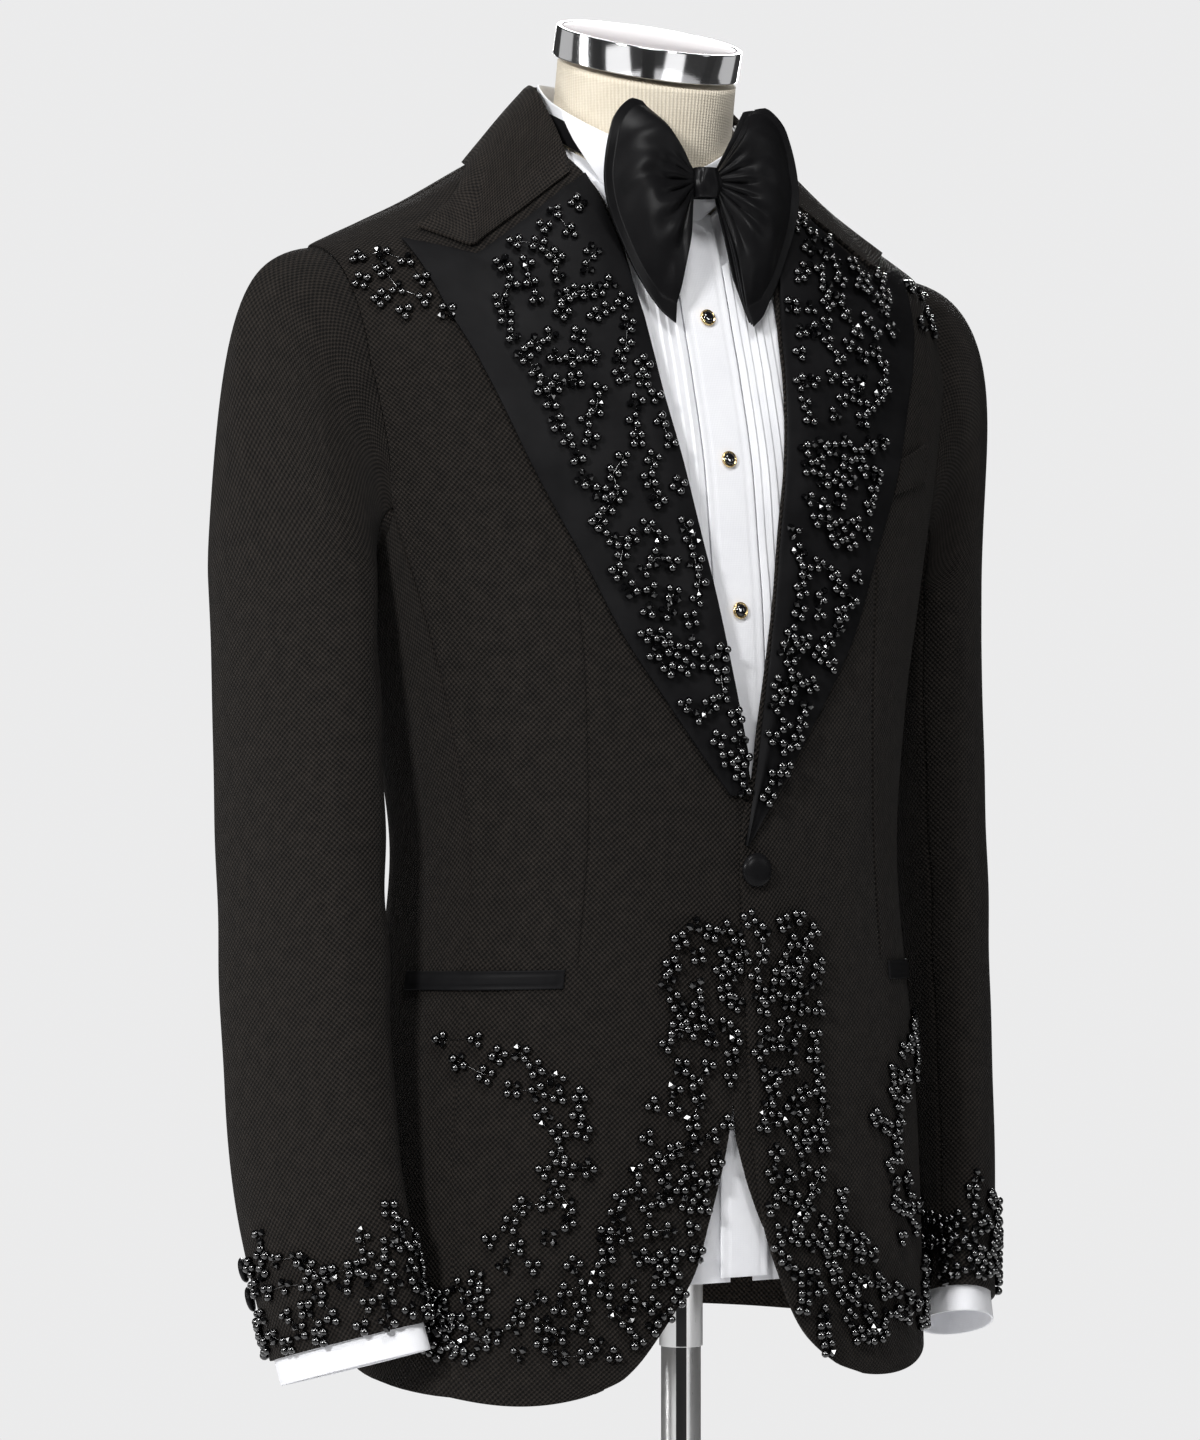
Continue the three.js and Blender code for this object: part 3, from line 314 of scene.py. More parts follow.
def declareSheet(grid, closed=False):
    # the flat cut: its longest width and length, and the area of its outline, worked out and not returned
    ring = ringOf(grid, closed)
    width = np.linalg.norm(np.diff(ring, axis=1), axis=-1).sum(axis=1).max() * mm
    length = np.linalg.norm(np.diff(ring, axis=0), axis=-1).sum(axis=0).max() * mm
    right, up = ring[:-1, 1:] - ring[:-1, :-1], ring[1:, :-1] - ring[:-1, :-1]
    area = min(np.linalg.norm(np.cross(up, right), axis=-1).sum() * mm**2, width * length)
    if area < narrowCut["under"] * width * length:
        width = area / narrowCut["filled"] / length


def sewnPiece(name, grid, thickness, look, replaced=None, closed=False, rim=0.5):
    piece = clothPiece(name, grid, thickness, look, closed, rim)
    settle(piece, "form", replaced)
    declareSheet(grid, closed)
    return piece


sides = ("left", "right")


def sided(side, grid):
    # the right side's grid is mirrored, with its columns turned so that its faces still point out
    return grid if side == "left" else grid[:, ::-1] * np.array([-1, 1, 1])


# Materials
def feed(tree, made, values):
    # each input set to a value, or fed by another node's output
    for key, value in values.items():
        if isinstance(value, bpy.types.NodeSocket):
            tree.links.new(value, made.inputs[key])
        else:
            made.inputs[key].default_value = value


def node(tree, kind, values=None, **settings):
    made = tree.nodes.new(kind)
    for key, value in settings.items():
        setattr(made, key, value)
    feed(tree, made, values or {})
    return made


def math(tree, operation, *values):
    return node(tree, "ShaderNodeMath", dict(enumerate(values)), operation=operation).outputs[0]


def newMaterial(name):
    material = bpy.data.materials.new(name)
    material.use_nodes = True
    return material, material.node_tree


def shaded(material, values):
    tree = material.node_tree
    feed(tree, tree.nodes["Principled BSDF"], values)
    return material


def ramp(tree, factor, dark, light, low=0.3, high=0.7):
    made = node(tree, "ShaderNodeValToRGB", {0: factor})
    for element, place, colour in zip(made.color_ramp.elements, (low, high), (dark, light)):
        element.position = place
        element.color = (*colour, 1)
    return made.outputs[0]


def bump(tree, height, strength, distance):
    values = {"Strength": strength, "Distance": distance, "Height": height}
    return node(tree, "ShaderNodeBump", values).outputs[0]


def uvAxes(tree, scale, turn=0.0):
    place = node(tree, "ShaderNodeUVMap", uv_map="cloth").outputs[0]
    values = {"Vector": place, "Rotation": (0, 0, turn), "Scale": (scale, scale, scale)}
    turned = node(tree, "ShaderNodeMapping", values).outputs[0]
    split = node(tree, "ShaderNodeSeparateXYZ", {0: turned}).outputs
    return split["X"], split["Y"], turned


def objectPlace(tree):
    return node(tree, "ShaderNodeTexCoord").outputs["Object"]


def waves(tree, along, shift=0.0):
    return math(tree, "SINE", math(tree, "MULTIPLY_ADD", along, 2 * np.pi, shift))


def noise(tree, vector, scale, detail):
    values = {"Vector": vector, "Scale": scale, "Detail": detail, "Roughness": 0.6}
    return node(tree, "ShaderNodeTexNoise", values).outputs["Fac"]


weave = {
    "period": 0.0032,
    "dark": (0.0016, 0.0013, 0.0012),
    "light": (0.03, 0.0245, 0.0205),
    "relief": 0.0009,
}
satinLook = {"dark": (0.0048, 0.0047, 0.0052), "light": (0.011, 0.0108, 0.0115), "ribs": 0.0009}
shirtLook = {"dark": (0.85, 0.855, 0.89), "light": (0.92, 0.925, 0.95), "yarn": 0.0011}
jerseyLook = {
    "dark": (0.60, 0.52, 0.39),
    "light": (0.86, 0.79, 0.66),
    "ribs": 150,
    "stitch": 0.0016,
    "axisY": 0.045,
}


def jacketClothMaterial(name, period, turn=0.0, lift=1.0):
    # birdseye: small dots in alternating rows, on yarns that vary a little
    material, tree = newMaterial(name)
    x, y, vector = uvAxes(tree, 1 / period, turn)
    dots = math(tree, "MULTIPLY", waves(tree, x), waves(tree, y))
    yarns = math(tree, "MULTIPLY", waves(tree, math(tree, "ADD", x, y), 0.6), 0.3)
    height = math(tree, "ADD", dots, yarns)
    uneven = math(tree, "MULTIPLY_ADD", noise(tree, vector, 0.35, 4), 0.5, -0.25)
    shade = math(tree, "ADD", math(tree, "MULTIPLY_ADD", height, 0.42, 0.4), uneven)
    values = {
        "Base Color": ramp(tree, shade, weave["dark"], [lift * c for c in weave["light"]], 0.1, 0.95),
        "Roughness": 0.82,
        "Sheen Weight": 0.02,
        "Specular IOR Level": 0.12,
        "Normal": bump(tree, height, 0.7, weave["relief"]),
    }
    return shaded(material, values)


def satinMaterial(name, roughness, shine):
    material, tree = newMaterial(name)
    x, y, vector = uvAxes(tree, 1 / satinLook["ribs"])
    threads = noise(tree, vector, 1.4, 2)
    ribs = math(tree, "MULTIPLY_ADD", waves(tree, math(tree, "ADD", x, y)), 0.3, threads)
    values = {
        "Base Color": ramp(tree, noise(tree, vector, 0.02, 4), satinLook["dark"], satinLook["light"]),
        "Roughness": math(tree, "MULTIPLY_ADD", threads, 0.16, roughness - 0.08),
        "Anisotropic": 0.3,
        "Specular IOR Level": shine,
        "Normal": bump(tree, ribs, 0.25, 0.00012),
    }
    return shaded(material, values)


def shirtMaterial(name):
    material, tree = newMaterial(name)
    x, y, vector = uvAxes(tree, 1 / shirtLook["yarn"])
    plain = math(tree, "ADD", waves(tree, x), waves(tree, y))
    soft = noise(tree, vector, 0.03, 4)
    values = {
        "Base Color": ramp(tree, soft, shirtLook["dark"], shirtLook["light"]),
        "Roughness": 0.75,
        "Sheen Weight": 0.1,
        "Normal": bump(tree, math(tree, "MULTIPLY_ADD", plain, 0.25, soft), 0.3, 0.00015),
    }
    return shaded(material, values)


def jerseyMaterial(name):
    # fine ribs run up the form, on the object's own coordinates
    material, tree = newMaterial(name)
    place = objectPlace(tree)
    split = node(tree, "ShaderNodeSeparateXYZ", {0: place}).outputs
    turn = math(tree, "ARCTAN2", math(tree, "SUBTRACT", split["Y"], jerseyLook["axisY"]), split["X"])
    ribs = math(tree, "SINE", math(tree, "MULTIPLY", turn, jerseyLook["ribs"]))
    stitches = math(tree, "SINE", math(tree, "MULTIPLY", split["Z"], 2 * np.pi / jerseyLook["stitch"]))
    height = math(tree, "MULTIPLY_ADD", stitches, 0.4, ribs)
    even = math(tree, "MULTIPLY_ADD", height, 0.12, 0.3)
    shade = math(tree, "MULTIPLY_ADD", noise(tree, place, 60, 4), 0.4, even)
    values = {
        "Base Color": ramp(tree, shade, jerseyLook["dark"], jerseyLook["light"], 0.1, 0.9),
        "Roughness": 0.85,
        "Sheen Weight": 0.2,
        "Normal": bump(tree, height, 0.4, 0.0004),
    }
    return shaded(material, values)


def metalMaterial(name, colour, roughness, grain, metallic=1.0):
    # fine turning marks round the axis, and a little unevenness
    material, tree = newMaterial(name)
    place = objectPlace(tree)
    stretched = node(tree, "ShaderNodeMapping", {"Vector": place, "Scale": grain}).outputs[0]
    marks = noise(tree, stretched, 1.0, 5)
    values = {
        "Base Color": ramp(tree, noise(tree, place, 12, 3), [0.93 * c for c in colour], colour),
        "Roughness": math(tree, "MULTIPLY_ADD", marks, 0.1, roughness),
        "Metallic": metallic,
        "Normal": bump(tree, marks, 0.08, 0.0002),
    }
    return shaded(material, values)


def stoneMaterial(name, colour, roughness):
    material, tree = newMaterial(name)
    cloud = noise(tree, objectPlace(tree), 90, 3)
    values = {
        "Base Color": ramp(tree, cloud, colour, [2.2 * c for c in colour]),
        "Roughness": math(tree, "MULTIPLY_ADD", cloud, 0.08, roughness),
        "Specular IOR Level": 0.7,
        "Coat Weight": 0.5,
        "Coat Roughness": 0.03,
    }
    return shaded(material, values)


# each look: the name of its slot, and its material
finish = {
    "jacket": ("jacket_cloth", jacketClothMaterial("jacketCloth", weave["period"])),
    "collarCloth": ("jacket_cloth", jacketClothMaterial("collarCloth", 0.0034, np.pi / 4, 1.25)),
    "satin": ("satin", satinMaterial("satin", 0.5, 0.05)),
    "bowSatin": ("satin", satinMaterial("bowSatin", 0.3, 0.08)),
    "shirt": ("shirt_cotton", shirtMaterial("shirtCotton")),
    "jersey": ("jersey", jerseyMaterial("jersey")),
    "chrome": ("chrome", metalMaterial("chrome", (0.82, 0.82, 0.83), 0.05, (40, 40, 1500))),
    "pole": ("chrome", metalMaterial("poleSteel", (0.8, 0.8, 0.8), 0.24, (900, 900, 30), 0.75)),
    "steel": ("base_steel", metalMaterial("brushedSteel", (0.5, 0.51, 0.52), 0.26, (300, 300, 300))),
    "gold": ("gold_rim", metalMaterial("goldRim", (0.83, 0.62, 0.3), 0.14, (900, 900, 900))),
    # painted shadow: a black finish for the strip down the chrome pole
    "poleShadow": ("base_steel", metalMaterial("poleShadowBlack", (0.012, 0.012, 0.013), 0.45, (60, 60, 60), 0.0)),
    "capTop": ("jersey", metalMaterial("capTop", (0.66, 0.62, 0.63), 0.5, (60, 60, 60), 0.15)),
    "onyx": ("onyx", stoneMaterial("onyx", (0.003, 0.003, 0.0035), 0.06)),
    "bead": ("satin", stoneMaterial("bead", (0.0006, 0.0006, 0.0008), 0.03)),
}
print("materials made")


# Jacket
frontEdges = table(
    "z left right",
    (812, 92, 102),
    (814, 86, 97),
    (822, 64, 80),
    (843, 38, 61),
    (878, 19, 38),
    (908, 8, 28),
    (947, 2, 17),
    (992, -2, 9),
    (1037, -5, 2),
    (1075, -7, -4),
    (1112, -9, -7),
    (1140, -7, -6),
    (1165, 0, 0),
    (1190, 4, 4),
    (1230, 12, 12),
    (1272, 20.5, 20.5),
    (1315, 29, 29),
    (1352, 37, 37),
    (1388, 43, 43),
    (1422, 46, 46),
    (1462, 50, 50),
    (1503, 56, 56),
    (1546, 72, 72),
)
frontStations = table(
    "step z leftLevel rightLevel seamTheta",
    (0, 814, 822, 811, 64.2),
    (1, 822, 832, 824, 64.2),
    (2, 843, 850, 846, 64.4),
    (3, 878, 880, 880, 64.7),
    (4, 908, 908, 908, 65),
    (5, 947, 947, 947, 65.4),
    (6, 992, 992, 992, 65.9),
    (7, 1037, 1037, 1037, 66.5),
    (8, 1075, 1075, 1075, 67),
    (9, 1112, 1112, 1112, 67.6),
    (10, 1140, 1140, 1140, 68.1),
    (11, 1165, 1165, 1165, 68.5),
    (12, 1190, 1190, 1190, 68.9),
    (13, 1230, 1232, 1232, 69.7),
    (14, 1272, 1276, 1276, 70.8),
    (15, 1315, 1320, 1320, 72),
    (16, 1352, 1350, 1350, 69),
    (17, 1388, 1378, 1378, 67.5),
    (18, 1422, 1404, 1404, 67),
    (19, 1462, 1440, 1440, 69),
    (20, 1503, 1474, 1474, 73),
    (21, 1545.9, 1503.4, 1503.4, 80.6),
)
jacketCut = {
    "cloth": 2.0,
    "lap": 2.6,
    "lapEnds": (6, 44),
    "lapelLift": 0.8,
    "tuck": 1.0,
    "dart": 1.1,
    "dartWidth": 0.34,
    "dartFrom": 1056,
    "dartTo": 1300,
    "hemBow": 5.5,
    "backSeam": 0.8,
    "backHem": 835,
    "sideKept": (71.2, 110.8),
    "sideTuck": (1.5, 0.45),
    "drape": 0.6,
    "stitch": 0.35,
}
hemLevels = {"left": (822, 829, 836), "right": (811, 824, 836)}
sideSeams = table("level front back", (800, 64, 117), (1000, 66, 116), (1200, 69, 112.5), (1322, 72, 110))


def frontLift(side, x):
    # the left front lies over the right one, and down on the body away from its edge
    lap = jacketCut["lap"] if side == "left" else 0
    return lap * (1 - smooth(x, *jacketCut["lapEnds"]))


def drape(theta, level, strength=1.0):
    # long soft unevenness of pressed cloth, quietest at the shoulders
    fade = strength * (0.35 + 0.65 * (1 - smooth(level, 1150, 1400)))
    slow = np.sin(theta * 0.11 + level * 0.009) * 0.7 + np.sin(theta * 0.23 - level * 0.016 + 1.3) * 0.45
    fine = np.sin(theta * 0.5 + level * 0.03 + np.sin(level * 0.02) * 2) * 0.18
    return fade * (slow + fine) * jacketCut["drape"]


def dartTheta(level):
    return mix(31.0, 36.5, smooth(level, 1290, 1060))


def jacketFront(side, rows=150, columns=50):
    station = rowAt(frontStations, "step", np.linspace(0, frontStations[-1]["step"], rows))
    edge = rowAt(frontEdges, "z", station["z"])[side]
    z = np.minimum(station["z"], rowAt(ridgeSections, "x", np.abs(edge))["z"] - 0.01)
    startTheta, startLevel = (place[:, None] for place in placeAt(edge, z))
    stationZ, seamTheta, seamLevel = (station[key][:, None] for key in ("z", "seamTheta", side + "Level"))
    # one column follows the dart, with a few close beside it
    beside = [0.492, 0.4955, 0.498, 0.5, 0.502, 0.5045, 0.508]
    half = columns // 2
    across = np.concatenate([np.linspace(0, 0.485, half), beside, np.linspace(0.515, 1, half)])[None, :]
    atDart = (dartTheta(seamLevel) - startTheta) / (seamTheta - startTheta)
    share = np.where(across < 0.5, across / 0.5 * atDart, atDart + (across - 0.5) / 0.5 * (1 - atDart))
    theta = mix(startTheta, seamTheta, share)
    level = mix(startLevel, seamLevel, share)
    hemZ = frontStations[0]["z"]
    level = level - jacketCut["hemBow"] * np.sin(np.pi * share**0.8) * (1 - smooth(stationZ, hemZ, 900))
    x = body(theta, level)[..., 0]
    low, high = jacketCut["dartFrom"], jacketCut["dartTo"]
    dart = bell(theta - dartTheta(seamLevel), jacketCut["dartWidth"])
    dart = dart * smooth(level, low, low + 6) * (1 - smooth(level, high - 15, high))
    quiet = smooth(share, 0.0, 0.12) * (1 - 0.9 * smooth(share, 0.9, 1)) * smooth(stationZ, hemZ, 850)
    return onBody(theta, level, frontLift(side, x) + drape(theta, level) * quiet - jacketCut["dart"] * dart)


def jacketSide(side, rows=120, columns=18):
    atFront, atBack = hemLevels[side][:2]
    # its two edges run a little way under the neighbours' edges
    share = np.concatenate([[0, 0.014], np.linspace(0.03, 0.97, columns - 4), [0.986, 1]])[None, :]
    rise = np.linspace(0, 1, rows)[:, None]
    top = rowAt(armhole, "turn", mix(60, -60, share))
    level = mix(mix(atFront, atBack, share**1.6), top["level"], rise)
    seams = rowAt(sideSeams, "level", level)
    even = mix(seams["front"] - jacketCut["tuck"], seams["back"] + jacketCut["tuck"], share)
    # at the top both edges stay under the fronts and backs at the armhole
    theta = mix(even, np.clip(top["theta"], *jacketCut["sideKept"]), rise**6)
    edge = np.minimum(share, 1 - share)
    deep, shallow = jacketCut["sideTuck"]
    sunk = deep * bell(edge, 0.006) + shallow * bell(edge, 0.02)
    return onBody(theta, level, drape(theta, level, 0.8) * np.sin(np.pi * share) ** 0.4 - sunk)


backNeck = table("x level", (0, 1466), (36, 1471), (70, 1504), (230, 1504))


def jacketBack(side, rows=130, columns=44):
    atSide, middle = hemLevels[side][1:]
    hem, seamTop, armRows = jacketCut["backHem"], sideSeams[-1]["level"], 44
    levels = np.concatenate([np.linspace(hem, seamTop, rows - armRows), np.linspace(1326, 1503.4, armRows)])
    arm = [row for row in armhole if row["turn"] <= -60][::-1]
    turn = np.interp(levels, [row["level"] for row in arm], [row["turn"] for row in arm])
    onSeam, onArm = rowAt(sideSeams, "level", levels)["back"], rowAt(armhole, "turn", turn)["theta"]
    share = np.linspace(0, 1, columns)[None, :] ** 1.15
    theta = mix(179.97, np.where(levels >= seamTop, onArm, onSeam)[:, None], share)
    x = np.abs(body(theta, np.minimum(levels, shoulderZ)[:, None])[..., 0])
    cut = (rowAt(backNeck, "x", x)["level"] - shoulderZ) / shoulderRise
    above = np.maximum(levels - shoulderZ, 0)[:, None]
    drop = (mix(middle, atSide, share) - hem) * (1 - smooth(levels, hem, 1040))[:, None]
    level = np.minimum(levels, shoulderZ)[:, None] + above * np.minimum(cut, 1) + drop
    seamDip = bell(share, 0.012) * jacketCut["backSeam"]
    lift = drape(theta, level, 0.9) * (1 - bell(share, 0.08)) - seamDip
    return onBody(theta, level, lift)[:, ::-1]


jacketMakers = {"front": jacketFront, "side": jacketSide, "back": jacketBack}
for part, maker in jacketMakers.items():
    for side in sides:
        name, grid, replaced = f"{part}Panel_{side}", sided(side, maker(side)), f"jacket_{part}_{side}"
        sewnPiece(name, grid, jacketCut["cloth"], "jacket", replaced)


# the left front's facing, rolled out a little at its edge above the opening
facingCut = {"sunk": 2.2, "under": 13, "cloth": 1.0}
facingRows = table(
    "z shown",
    (905, 0),
    (920, 3.5),
    (938, 7.5),
    (962, 11),
    (990, 9),
    (1010, 6),
    (1040, 2),
    (1060, 0),
)


def facingGrid(rows=60, columns=9):
    z = np.linspace(facingRows[0]["z"], facingRows[-1]["z"], rows)[:, None]
    edge = rowAt(frontEdges, "z", z)["left"]
    shown = rowAt(facingRows, "z", z)["shown"]
    x = mix(edge - shown, edge + facingCut["under"], np.linspace(0, 1, columns)[None, :])
    return frontPoint(x, z, frontLift("left", x) - facingCut["sunk"])


sewnPiece("frontFacing", facingGrid(), facingCut["cloth"], "jacket")
print("jacket body done")


# Lapels
lapelRows = table(
    "z roll edge",
    (1126, -8, -5.5),
    (1150, -3, 11),
    (1175, 2, 30),
    (1208, 8, 53),
    (1246, 15.5, 78),
    (1294, 25, 101),
    (1341, 34.5, 124),
    (1390, 43, 143),
    (1433, 47.5, 161),
)
lapelCut = {
    "split": 0.8,
    "gorgeShare": 0.62,
    "roll": 1.6,
    "rollAt": 0.14,
    "rollWidth": 0.12,
    "rightStart": 0.075,
    "swell": 0.7,
}
gorge = {"rollX": 62, "rollZ": 1518, "x": 138, "z": 1467}
lapelTip = {"x": 172, "z": 1476}


def lapelPlace(share, rise):
    split, gorgeShare = lapelCut["split"], lapelCut["gorgeShare"]
    row = rowAt(lapelRows, "z", mix(lapelRows[0]["z"], lapelRows[-1]["z"], np.minimum(rise / split, 1)))
    x, z = mix(row["roll"], row["edge"], share), row["z"]
    inside = share < gorgeShare
    t = np.where(inside, share / gorgeShare, (share - gorgeShare) / (1 - gorgeShare))
    topX = np.where(inside, mix(gorge["rollX"], gorge["x"], t), mix(gorge["x"], lapelTip["x"], t))
    topZ = np.where(inside, mix(gorge["rollZ"], gorge["z"], t), mix(gorge["z"], lapelTip["z"], t))
    up = np.maximum((rise - split) / (1 - split), 0)
    return mix(x, topX, up), mix(z, topZ, up)


def lapelGrid(side, rows=96, columns=44):
    start = 0 if side == "left" else lapelCut["rightStart"]
    shares = np.sort(np.append(np.linspace(0, 1, columns - 1), lapelCut["gorgeShare"]))
    share, rise = np.meshgrid(shares, np.linspace(start, 1, rows))
    x, z = lapelPlace(share, rise)
    if side == "right":
        # its foot goes under the left lapel
        under = np.where(z < 1180, np.clip((1180 - z) / 3, 0, 9), 0)
        x = np.maximum(x, under + share * 2)
    roll = lapelCut["roll"] * bell(share - lapelCut["rollAt"], lapelCut["rollWidth"])
    swell = lapelCut["swell"] * np.sin(rise * 9 + share * 4) * np.sin(np.pi * share)
    return frontPoint(x, z, frontLift(side, x) + jacketCut["lapelLift"] + jacketCut["cloth"] + roll + swell)


for side in sides:
    grid, under = sided(side, lapelGrid(side)), [f"frontPanel_{side}"]
    name, replaced = f"satinLapel_{side}", f"lapel_{side}"
    sewnPiece(name, grid, jacketCut["cloth"], "satin", replaced, rim=0.6)
print("lapels done")


# Collar: a folded wall, standing inside to its crest and falling outside to its edge
collarRows = table(
    "turn footX footY footZ x y z edgeX edgeZ lift",
    (0, 65, 20, 1518, 66, 17, 1523, 161, 1483, 3.2),
    (0.18, 67, 36, 1537, 66.5, 34, 1548, 137, 1500, 2.4),
    (0.4, 71.5, 61, 1548, 66, 58, 1573, 108, 1527, 1.6),
    (0.7, 39, 117.5, 1546.2, 45, 100, 1581, 74, 1530, 1.8),
    (1, 0, 122.5, 1545.8, 0, 118, 1582, 0, 1532, 2),
)


def collarLine(turn, count=26):
    # from the foot of the stand up to the crest, over it and down the fall to its edge
    row = {key: float(value) for key, value in rowAt(collarRows, "turn", turn).items()}
    crest = np.array([row["x"], row["y"], row["z"]])
    foot = np.array([row["footX"], row["footY"], row["footZ"]])
    atBack = turn > 0.4
    top = float(rowAt(ridgeSections, "x", row["edgeX"])["z"]) - 0.5
    edge = onBody(*placeAt(row["edgeX"], min(row["edgeZ"], top), atBack), row["lift"])
    corner = frontPoint(gorge["x"] + 1, gorge["z"] + 4, 3.4)
    front = 1 - float(smooth(turn, 0, 0.3))
    stand = [mix(foot, crest, s) for s in np.linspace(0, 0.94, 8)]
    fall = []
    for t in np.linspace(0, 1, count):
        bent = mix(crest, corner, t / 0.7) if t < 0.7 else mix(corner, edge, (t - 0.7) / 0.3)
        point = mix(mix(crest, edge, t), bent, front)
        point = point + np.array([0, 0, 2.2 * np.sin(np.pi * t) * (1 - front)])
        if not atBack and t > 0:
            point[1] = min(point[1], float(frontPoint(point[0], point[2], 3.4)[1]))
        fall.append(point)
    return np.array(stand + fall)


def collarGrid(steps=44):
    lines = []
    for i in range(-steps, steps + 1):
        line = collarLine(1 - abs(i) / steps)
        if i < 0:
            line = line * np.array([-1, 1, 1])
        lines.append(line)
    grid = np.array(lines)
    for _ in range(2):
        grid[1:-1] = 0.25 * grid[:-2] + 0.5 * grid[1:-1] + 0.25 * grid[2:]
    return grid


under = ["frontPanel_left", "frontPanel_right"]
collar = sewnPiece("topCollar", collarGrid(), 2.0, "collarCloth", "jacket_collar", rim=0.6)
collar.modifiers["wall"].offset = 0
print("collar done")


# Sleeves
sleeveRings = table(
    "z x y along across turn pitch",
    (842, 211, 22, 52, 26, 28, 16),
    (928, 221, 40, 57, 28, 25, 12),
    (1012, 223, 50, 58, 29, 24, 9),
    (1096, 223, 57, 58.5, 30, 22, 6),
    (1176, 223, 63, 59, 31, 21, 3),
    (1244, 223, 67, 59.5, 32, 20, 1),
    (1280, 224, 68, 60, 32, 20, 0),
)
sleeveCut = {"head": 0.3, "top": 1280, "hem": 842, "armCentre": (198, 58, 1380), "under": 4, "groove": 1.5}


def ringPoint(ring, turn, grow=0.0):
    around, facing = np.radians(turn), np.radians(ring["turn"])
    ahead = (ring["along"] + grow) * np.sin(around)
    outward = -(ring["across"] + grow) * np.cos(around)
    return np.stack(
        [
            ring["x"] - ahead * np.sin(facing) + outward * np.cos(facing),
            ring["y"] - ahead * np.cos(facing) - outward * np.sin(facing),
            ring["z"] + ahead * np.sin(np.radians(ring["pitch"])),
        ],
        axis=-1,
    )


def wrapTurn(turn):
    return (np.asarray(turn, float) + 180) % 360 - 180


def armRing(z, turn, grow=0.0):
    return ringPoint(rowAt(sleeveRings, "z", z), turn, grow)


def downAt(z):
    # how far down the sleeve a height lies, 0 at the armhole and 1 at the hem
    top, hem = sleeveCut["top"], sleeveCut["hem"]
    return mix(sleeveCut["head"], 1, (top - z) / (top - hem))


def armholeEdge(turn):
    # the sleeve's head starts in a groove under the armhole's edge
    place = rowAt(armhole, "turn", wrapTurn(turn))
    here = body(place["theta"], place["level"])
    normal = bodyNormal(place["theta"], place["level"])
    away = np.array(sleeveCut["armCentre"]) - here
    away = unit(away - normal * (away * normal).sum(axis=-1, keepdims=True))
    return here + away * 0.2 - normal * sleeveCut["groove"]


def sleevePoint(turn, down):
    turn, down = np.broadcast_arrays(np.asarray(turn, float), np.asarray(down, float))
    head, top, hem = sleeveCut["head"], sleeveCut["top"], sleeveCut["hem"]
    arm = armRing(np.where(down > head, mix(top, hem, (down - head) / (1 - head)), top), turn)
    share = np.clip(down / head, 0, 1)[..., None]
    start, first, second = armholeEdge(turn), armRing(top, turn), armRing(top - 18, turn)
    reach = np.linalg.norm(first - start, axis=-1, keepdims=True)
    outer = np.maximum(-np.cos(np.radians(turn + 20)), 0)[..., None]
    outwards = unit(np.array([1, 0, -0.12])) * reach * mix(0.7, 1.15, outer)
    downwards = unit(second - first) * reach * mix(1.2, 1.5, outer)
    keep = 2 * share**3 - 3 * share**2 + 1
    crown = start * keep + outwards * (share**3 - 2 * share**2 + share)
    crown = crown + first * (1 - keep) + downwards * (share**3 - share**2)
    return np.where((down < head)[..., None], crown, arm)


def sleeveNormal(turn, down):
    around = sleevePoint(turn + 4, down) - sleevePoint(turn - 4, down)
    up = sleevePoint(turn, np.maximum(down - 0.015, 0)) - sleevePoint(turn, np.minimum(down + 0.015, 1))
    return unit(np.cross(around, up))


sleeveFold = {"breaks": 0.9, "pull": 1.6, "ease": 0.35, "slow": 0.6}


def sleeveFolds(turn, down):
    # pull lines from under the arm, soft breaks at the elbow, a little ease round the head
    inner = bell(wrapTurn(turn - 40), 60)
    breaks = np.sin(down * 46 + turn * 0.035) * bell(down - 0.62, 0.16) * (0.4 + inner) * sleeveFold["breaks"]
    pull = np.sin(down * 30 - turn * 0.09) * bell(down - 0.36, 0.08) * inner * sleeveFold["pull"]
    overHead = bell(down, 0.05) * smooth(np.abs(wrapTurn(turn)), 60, 120)
    ease = np.sin(turn * 0.35) * overHead * sleeveFold["ease"]
    slow = np.sin(turn * 0.06 + down * 9) * sleeveFold["slow"]
    return (breaks + pull + ease + slow) * smooth(down, 0.0, 0.04) * (1 - 0.7 * smooth(down, 0.92, 1))


def sleeveGrid(first, last, columns, tuck, rows=120):
    # the top sleeve dips to its seams, the under sleeve runs on beneath them
    shares = np.concatenate([[0, 0.012], np.linspace(0.03, 0.97, columns), [0.988, 1]])
    turns = mix(first - tuck, last + tuck, shares)
    turn, down = np.meshgrid(turns, np.linspace(1, 0, rows))
    away = np.minimum(turns - first, last - turns)
    sunk = 0.45 * bell(np.maximum(away, 0), 1.6) + np.where(away < -0.1, 1.0, 0)
    lift = sleeveFolds(turn, down) - sunk[None, :]
    return sleevePoint(turn, down) + sleeveNormal(turn, down) * lift[..., None]


sleeveParts = {"top": (60, 300, 64, 0), "under": (-60, 60, 34, sleeveCut["under"])}
for part, spread in sleeveParts.items():
    grid = sleeveGrid(*spread)
    for side in sides:
        name, shaped, replaced = f"{part}Sleeve_{side}", sided(side, grid), f"sleeve_{part}_{side}"
        sewnPiece(name, shaped, jacketCut["cloth"], "jacket", replaced)
print("sleeves done")


